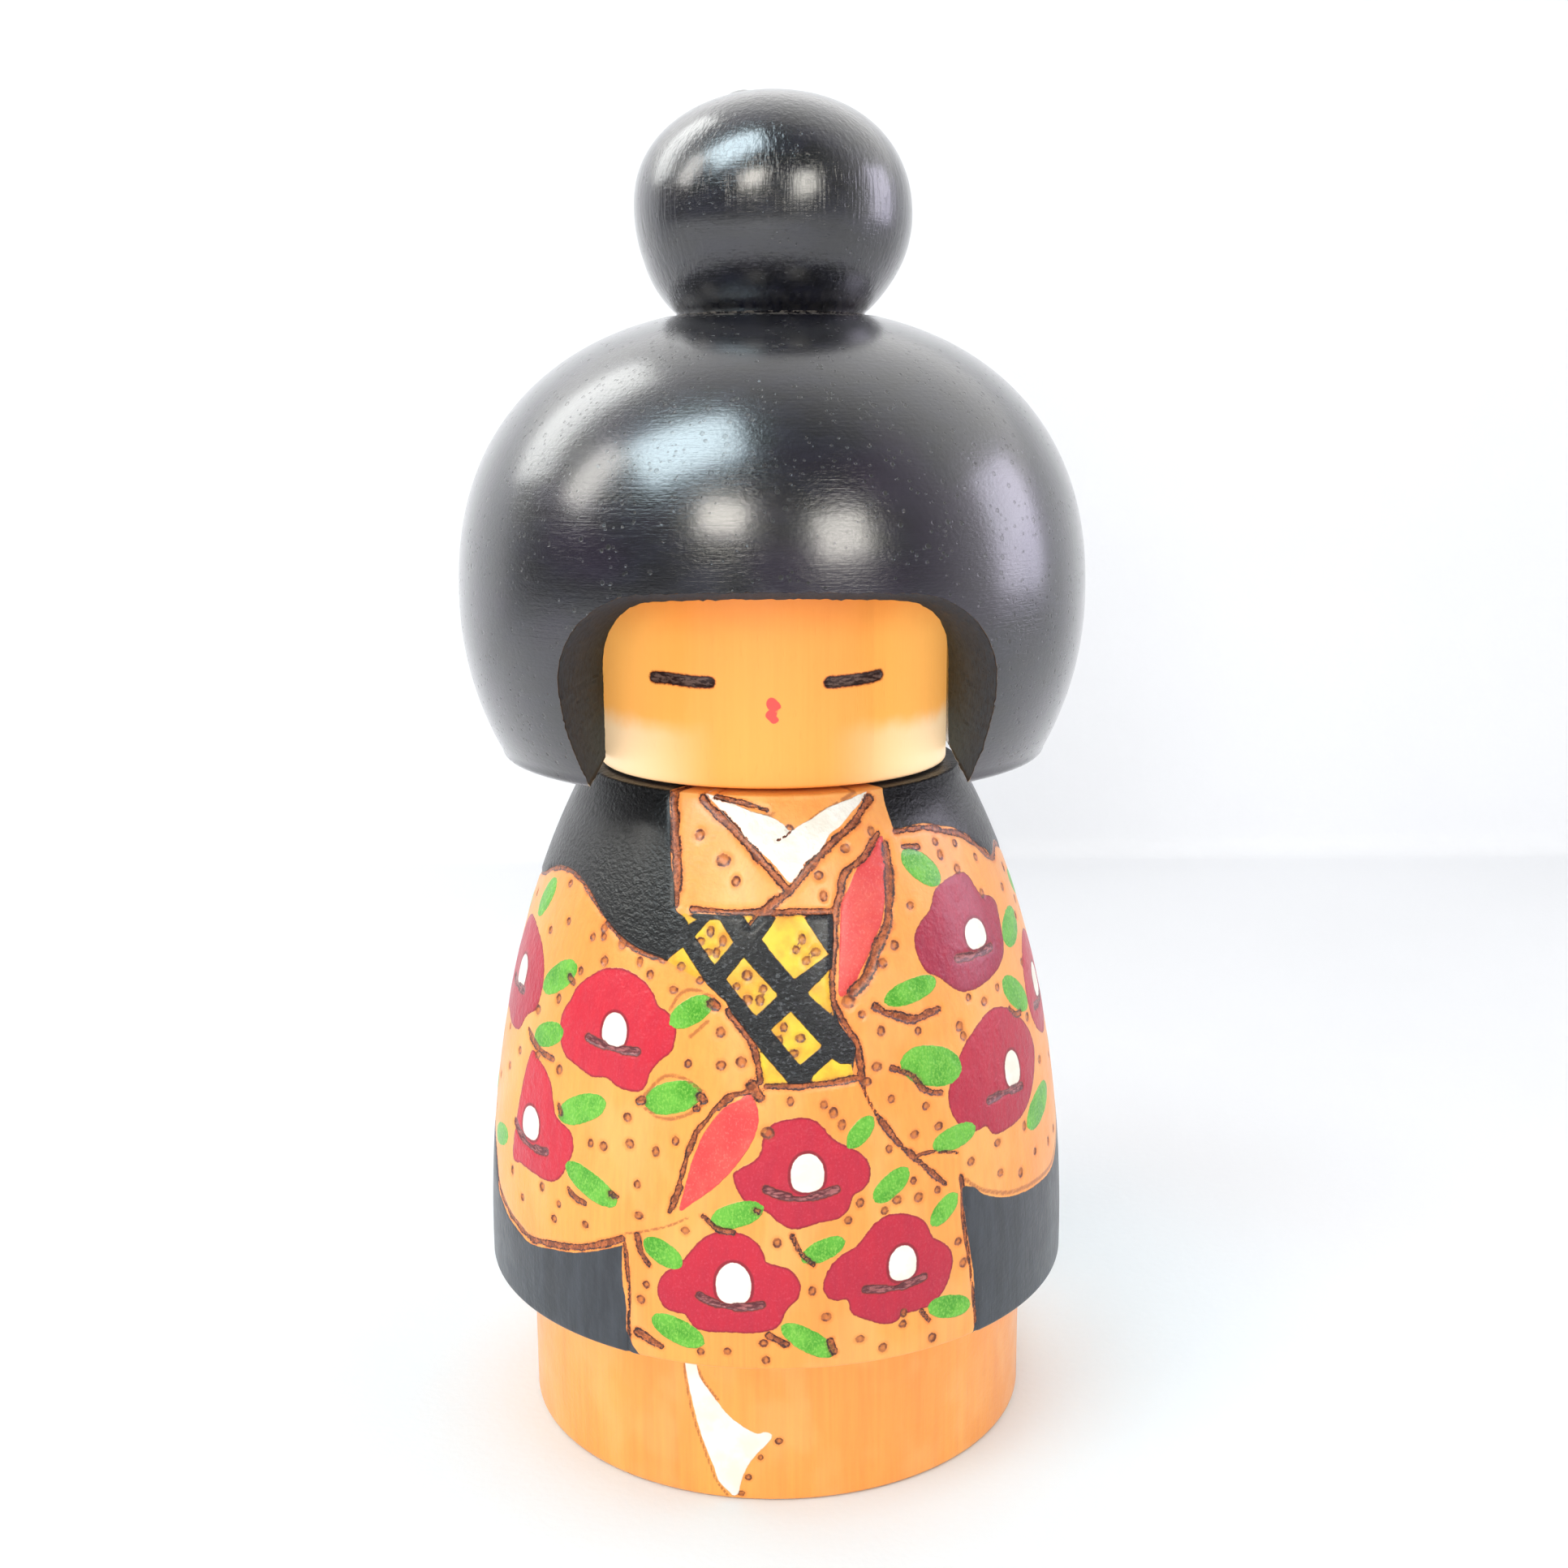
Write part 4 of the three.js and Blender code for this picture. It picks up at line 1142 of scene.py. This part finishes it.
def painted_wood(name, light, dark, contrast, tone, bar_dark, bar_pale, roughness, coat, varnish):
    """Varnished wood with all the drawn layers."""
    f = Finish(name)
    base, relief = wood(f, light, dark, "c9803c", contrast)
    base = tone(f, base)
    mottle = f.noise(0.35, 3.0, 0.55)
    fine = f.noise((4.5, 4.5, 3.4), 2.0, 0.6)
    pebble = f.layer("pebble")
    sash = f.fade(pebble, 0.6, 0.9)

    lining, petal, leaf = f.painted("lining"), f.painted("petal", 0.36), f.painted("leaf", 0.25)
    white, black = f.painted("white", 0.18), f.painted("black")
    base = f.mix(lining, base, lining_paint(f, mottle, fine))
    base = f.mix(petal, base, petal_paint(f, fine))
    base = f.mix(leaf, base, leaf_paint(f, mottle, fine))
    patchy = f.fade(mottle, 0.3, 0.7)
    base = f.mix(f.painted("yellow", 0.12), base, f.mix(patchy, "d69a26", "e8c832"))

    faint = f.under(f.wobbled("faint", 2.6, 1.2), 0.35, 1.15, 0.7)
    slow = f.fade(f.noise(0.45, 1.0), 0.32, 0.68, 0.85, 1.5)
    burn = f.times(f.wobbled("burn", 2.9, 0.85), slow)
    dot = f.wobbled("dot", 2.2, 0.5)
    bar = f.wobbled("bar", 2.4, 0.5)
    burned = dotted(f, scorch(f, f.mix(faint, base, "9c5026"), burn), dot)
    base = f.mix(white, burned, f.mix(patchy, "e9e2d2", "f6f2e8"))
    base = f.mix(f.times(white, f.under(burn, 0.9, 1.1)), base, burned)
    base = brushed_stroke(f, base, bar, bar_dark, bar_pale)
    base = f.mix(f.painted("lips", 0.1), base, "dd4a44")
    base = f.mix(black, base, black_paint(f, pebble, sash))

    paint = f.fold("MAXIMUM", petal, leaf, white, lining)
    leather = f.times(f.noise(1.5, 3.0, 0.55), f.fade(mottle, 0.4, 0.6, 0.35, 1.0))
    drops = f.times(pebble, black, f.noise((1.8, 1.8, 2.4), 3.0, 0.6))
    matt = f.times(f.fade(pebble, 0.0, 0.2), f.math("SUBTRACT", black, sash))
    dent = f.fold("MINIMUM", burn, dot, bar)
    height = f.total(
        (relief, 1.0),
        (f.times(paint, leather), 0.18),
        (drops, 0.5),
        (f.times(black, f.noise((2.4, 2.4, 0.12))), 0.02),
        (f.fade(dent, 0.3, 1.0, -0.09, 0.0), 1.0),
        (f.times(f.under(dent, 0.9, 1.1), f.noise(3.2, 2.0, 0.6)), 0.06),
        (f.noise(0.8), 0.03),
        (f.noise(1.9), varnish),
    )
    gloss = f.total((patchy, 0.08), (paint, 0.02), (black, 0.04), (matt, -0.1), (sash, -0.08))
    rough = f.math("ADD", gloss, roughness)
    coat = f.times(f.fade(matt, 0.0, 1.0, 1.0, 0.9), f.under(f.axis("Z"), *COAT_END), coat)
    return f.close(base, rough, height, coat, coat_roughness=0.24, specular=0.35)


def pits_of(f, per_mm, size, patches, clear):
    """Small round pits that come in patches."""
    pit = f.under(f.cells(per_mm), *size)
    return f.times(pit, f.fade(f.noise(patches), *clear))


def dusted(f, base, rough, glue_line):
    """Dust where two turnings meet."""
    ring = f.under(f.math("ABSOLUTE", f.math("SUBTRACT", f.axis("Z"), glue_line)), 0.12, 0.3)
    dust = f.times(ring, f.fade(f.noise(1.4, 3.0, 0.7), 0.42, 0.6))
    return f.mix(f.times(dust, 0.5), base, "a79f95"), f.fade(dust, 0.0, 1.0, rough, 0.7)


def lacquer(name, roughness, glue_line, pitted, brushing, is_cut):
    """Black lacquer over turned wood: fine tool lines and pits, dust where two turnings meet, and bare rough
    fibres in the cut of the window, painted bluish against the face's warm bounce light and painted near
    black as shade along its edge."""
    f = Finish(name)
    many = pits_of(f, 0.62, (0.11, 0.19), 0.14, (0.44, 0.58))
    small = pits_of(f, (1.15, 1.15, 1.3), (0.13, 0.24), 0.22, (0.46, 0.6))
    pits = f.times(f.math("MAXIMUM", many, small), pitted)
    haze = f.noise((0.2, 0.2, 0.5), 4.0, 0.65)
    # painted reflection: faint violet patches in the black lacquer
    painted_violet_reflection = f.fade(f.noise((0.05, 0.05, 0.07)), 0.5, 0.66, 0.0, 0.7)
    base = f.mix(f.fade(haze, 0.35, 0.7), "090a10", "131420")
    base = f.mix(painted_violet_reflection, base, "1c1226")
    base = f.mix(pits, base, "040405")
    height = f.total(
        (f.noise((0.12, 0.12, 5.0), 3.0, 0.7), 0.03),
        (f.noise((0.1, 0.1, 1.1), 2.0, 0.6), 0.014),
        (f.noise((2.0, 2.0, 3.4), 2.0, 0.55), 0.04),
        (pits, -0.14),
        (f.noise((1.7, 1.7, 0.16), 2.0, 0.6), brushing),
    )
    rough = f.math("ADD", f.total((haze, 0.1), (pits, 0.1)), roughness)
    base, rough = dusted(f, base, rough, glue_line)
    coat = 1.0
    if is_cut:
        sunk = f.layer("under_skin")
        cut = f.times(f.fade(sunk, 0.01, 0.05), f.under(f.layer("from_window"), 0.5, 1.0))
        fibre = f.noise((3.0, 3.0, 1.0), 4.0, 0.7)
        # the cut's fibres are painted bluish to cancel the warm bounce light from the face
        bare = f.mix(f.fade(fibre, 0.3, 0.7), "182530", "304350")
        # painted shade: near black along the window's edge, where the cut is shallow
        base = f.mix(cut, base, f.mix(f.fade(sunk, 0.2, 0.55), "030304", bare))
        rough = f.fade(cut, 0.0, 1.0, rough, 0.85)
        height = f.total((height, 1.0), (f.times(cut, fibre), 0.16))
        coat = f.math("SUBTRACT", 1.0, cut)
    return f.close(base, rough, height, coat, coat_roughness=0.2)


def bare_wood():
    f = Finish("peg_wood")
    base, relief = wood(f, "e2bd88", "c99a5f", "8f6234")
    return f.close(base, 0.7, relief, specular=0.3)


# -------------------------------------------------------------------------- stage
# Lengths here are in metres.

FLOOR_HALF = 1.6
WALL_BEHIND = 0.261
WALL_HEIGHT = 0.30
COVE = 0.006                 # radius of the turn between floor and wall
GLOW_REACH = (28.0, 95.0)    # millimetres from the doll over which the floor is painted cooler, to cancel the doll's warm bounce light


def stage_material():
    f = Finish("pale_paper")
    x, y = f.axis("X"), f.axis("Y")
    reach = f.math("SQRT", f.total((f.times(x, x), 1.0), (f.times(y, y), 1.0)))
    base = f.mix(f.fade(f.noise(0.01), 0.3, 0.7), (0.83, 0.84, 0.86, 1), (0.85, 0.86, 0.88, 1))
    # painted light: the floor near the doll is tinted cool against the doll's warm bounce
    base = f.mix(f.under(reach, *GLOW_REACH), base, (0.775, 0.882, 0.93, 1))
    return f.close(base, 0.75, f.times(f.noise(1.0), 0.06), specular=0.2)


def build_stage():
    """Pale floor that turns up into a low backdrop."""
    line = [(-FLOOR_HALF, 0.0), (WALL_BEHIND - COVE, 0.0)]
    for turn in np.radians(np.linspace(0, 90, 7))[1:]:
        line.append((WALL_BEHIND - COVE + COVE * math.sin(turn), COVE * (1 - math.cos(turn))))
    line.append((WALL_BEHIND, WALL_HEIGHT))
    form = bmesh.new()
    rows = [[form.verts.new((x, y, z)) for x in (-FLOOR_HALF, FLOOR_HALF)] for y, z in line]
    for a, b in zip(rows, rows[1:]):
        form.faces.new((a[0], a[1], b[1], b[0]))
    mesh = bpy.data.meshes.new("backdrop")
    form.to_mesh(mesh)
    form.free()
    mesh.shade_smooth()
    mesh.materials.append(stage_material())
    obj = bpy.data.objects.new("backdrop", mesh)
    bpy.context.scene.collection.objects.link(obj)


LAMP_TARGET = Vector((0, 0, 0.105))
LAMP_DISTANCE = 0.6

# Lamps that only show as highlights: the azimuth and elevation of both ends, how
# broad the lamp is, its brightness (radiance) and its colour.
HIGHLIGHTS = [
    ("window_blue", (-60, 40), (-19, 63), 0.24, 13.5, (0.76, 0.93, 1.0)),
    ("window_left", (-79, 22), (-74, 44), 0.13, 9, (1.0, 0.98, 0.93)),
    ("lamp_near", (-26, 26), (-9, 26), 0.12, 17, (1.0, 0.96, 0.87)),
    ("lamp_right", (16, 18), (34, 20), 0.16, 13, (1.0, 0.97, 0.88)),
    ("window_behind", (-137, 57), (-106, 21), 0.2, 4.6, (0.97, 0.99, 0.97)),
    ("glow_right", (97, -4), (98, 30), 0.27, 4, (0.84, 0.8, 1.0)),
]
# Broad sheens that only the kimono shows, laid out like the highlights.
SHEENS = [
    ("sheen_left", (-104, 38), (-62, 42), 0.34, 7.0, (1.0, 1.0, 0.92)),
    ("sheen_right", (66, 40), (104, 36), 0.34, 7.0, (0.86, 0.8, 1.0)),
]
# Lamps that only give light: azimuth, elevation, distance, width, height, brightness
# and colour.
SOFT_LIGHTS = [
    ("key", -46, 42, 1.0, 0.7, 0.7, 2.7, (1.0, 0.995, 0.99)),
    ("front", -6, 9, 1.0, 0.5, 0.4, 7.0, (1.0, 0.995, 0.99)),
    ("side_left", -64, 4, 1.0, 0.5, 0.4, 3.6, (1.0, 0.995, 0.99)),
    ("side_right", 62, 12, 1.0, 0.5, 0.4, 1.7, (1.0, 0.995, 0.99)),
    ("above", -10, 84, 0.9, 0.7, 0.7, 1.3, (0.99, 0.995, 1.0)),
]
# The same, but only for the face.
FACE_LIGHTS = [
    ("cheek_left", -76, 8, 0.5, 0.2, 0.2, 20.0, (1.0, 0.99, 0.97)),
    ("cheek_right", 76, 8, 0.5, 0.2, 0.2, 18.0, (1.0, 0.99, 0.97)),
]


def direction(azimuth, elevation):
    a, e = math.radians(azimuth), math.radians(elevation)
    return Vector((math.sin(a) * math.cos(e), -math.cos(a) * math.cos(e), math.sin(e)))


def add_lamp(name, away, distance, across, size, radiance, tint):
    """Area lamp that faces the doll, with its width along `across`."""
    data = bpy.data.lights.new(name, "AREA")
    data.shape = "RECTANGLE"
    data.size, data.size_y = size
    data.energy = radiance * math.pi * data.size * data.size_y
    data.color = tint
    lamp = bpy.data.objects.new(name, data)
    lamp.location = LAMP_TARGET + away * distance
    side = (across - away * across.dot(away)).normalized()
    lamp.rotation_mode = "QUATERNION"
    lamp.rotation_quaternion = Matrix((side, away.cross(side), away)).transposed().to_quaternion()
    lamp.visible_camera = False
    bpy.context.scene.collection.objects.link(lamp)
    return lamp


def add_highlight(name, start, end, broad, radiance, tint):
    start, end = direction(*start), direction(*end)
    size = ((end - start).length * LAMP_DISTANCE, broad)
    away = (start + end).normalized()
    lamp = add_lamp(name, away, LAMP_DISTANCE, end - start, size, radiance, tint)
    lamp.visible_diffuse = False
    return lamp


def add_soft_lamp(name, azimuth, elevation, distance, width, height, radiance, tint):
    away = direction(azimuth, elevation)
    across = away.cross(Vector((0, 0, 1)))
    lamp = add_lamp(name, away, distance, across, (width, height), radiance, tint)
    lamp.visible_glossy = False
    return lamp


def build_lamps():
    for lamp in HIGHLIGHTS:
        add_highlight(*lamp)
    for lamp in SOFT_LIGHTS:
        add_soft_lamp(*lamp)


def light_alone(piece, lamps):
    """Give a piece lamps of its own, which the hair over it doesn't shade."""
    lit = bpy.data.collections.new("lit_" + piece.name)
    lit.objects.link(piece)
    for lamp in lamps:
        lamp.light_linking.receiver_collection = lit
        lamp.light_linking.blocker_collection = lit


ROOM_FRONT = 0.17            # brightness of the room behind the viewer
ROOM_BACK = 1.6
ROOM_SLANT = 0.35            # the left of the room is dimmer than the right
ROOM_TINT = (1.0, 0.998, 0.992, 1)
ROOM_SEEN = 1.0              # brightness of the room where it shows behind the stage


def build_world():
    """Bright behind the doll and to its sides, dimmer where the viewer stands."""
    world = bpy.data.worlds.new("room")
    bpy.context.scene.world = world
    f = Nodes(world, "Generated", 1.0)
    slant = f.math("MULTIPLY_ADD", f.axis("X"), ROOM_SLANT, f.axis("Y"))
    room = f.fade(slant, -0.5, 0.5, ROOM_FRONT, ROOM_BACK)
    is_seen = f.add("LightPath").outputs["Is Camera Ray"]
    strength = f.add("Mix", {0: is_seen, 2: room, 3: ROOM_SEEN}, data_type="FLOAT").outputs[0]
    sky = f.add("Background", {"Color": ROOM_TINT, "Strength": strength})
    f.add("OutputWorld", {"Surface": sky.outputs[0]})


CAMERA_PLACE = (0.0012, -0.2082, 0.1167)
CAMERA_PITCH = -11.68
CAMERA_ROLL = -0.32
LENS = 41.89
SENSOR = 36.0


def build_camera():
    data = bpy.data.cameras.new("camera")
    data.lens = LENS
    data.sensor_width = SENSOR
    data.clip_start = 0.01
    data.clip_end = 20
    camera = bpy.data.objects.new("camera", data)
    turn = Matrix.Rotation(math.radians(90 + CAMERA_PITCH), 4, "X")
    roll = Matrix.Rotation(math.radians(CAMERA_ROLL), 4, "Z")
    camera.matrix_world = Matrix.Translation(CAMERA_PLACE) @ turn @ roll
    bpy.context.scene.collection.objects.link(camera)
    bpy.context.scene.camera = camera


# --------------------------------------------------------------------------- doll

KIMONO_LOOK = dict(light="f8a94c", dark="ed9040", contrast=0.62, tone=kimono_tone, bar_dark="5a1c24",
                   bar_pale="a05a5a", roughness=0.36, coat=0.32, varnish=0.05)
FACE_LOOK = dict(light="f4a34e", dark="eb9141", contrast=0.3, tone=face_tone, bar_dark="231311",
                 bar_pale="5c4740", roughness=0.32, coat=0.35, varnish=0.0)
HAIR_LOOK = dict(roughness=0.2, glue_line=CROWN, pitted=1.0, brushing=0.01, is_cut=True)
BUN_LOOK = dict(roughness=0.19, glue_line=KNOT_BOTTOM, pitted=0.35, brushing=0.13, is_cut=False)


def build_doll():
    kimono_paint = painted_wood("kimono_paint", **KIMONO_LOOK)
    face_paint = painted_wood("face_paint", **FACE_LOOK)
    kimono = add_piece("kimono", body_mesh(), kimono_paint, "body", "body")
    light_alone(kimono, [add_highlight(*lamp) for lamp in SHEENS])
    face = add_piece("face", face_mesh(), face_paint, "head", "face_block")
    light_alone(face, [add_soft_lamp(*lamp) for lamp in FACE_LIGHTS])
    hair_paint, bun_paint = lacquer("hair_lacquer", **HAIR_LOOK), lacquer("bun_lacquer", **BUN_LOOK)
    add_piece("hair", hair_mesh(), hair_paint, "head", "hair_cap")
    add_piece("bun", knot_mesh(), bun_paint, "head", "topknot")
    pegs = bare_wood()
    for name in ("neck_peg", "topknot_peg"):
        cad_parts[name].data.materials.clear()
        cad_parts[name].data.materials.append(pegs)


build_camera()
build_world()
build_lamps()
build_stage()
build_doll()
bpy.context.scene.view_settings.view_transform = "Standard"
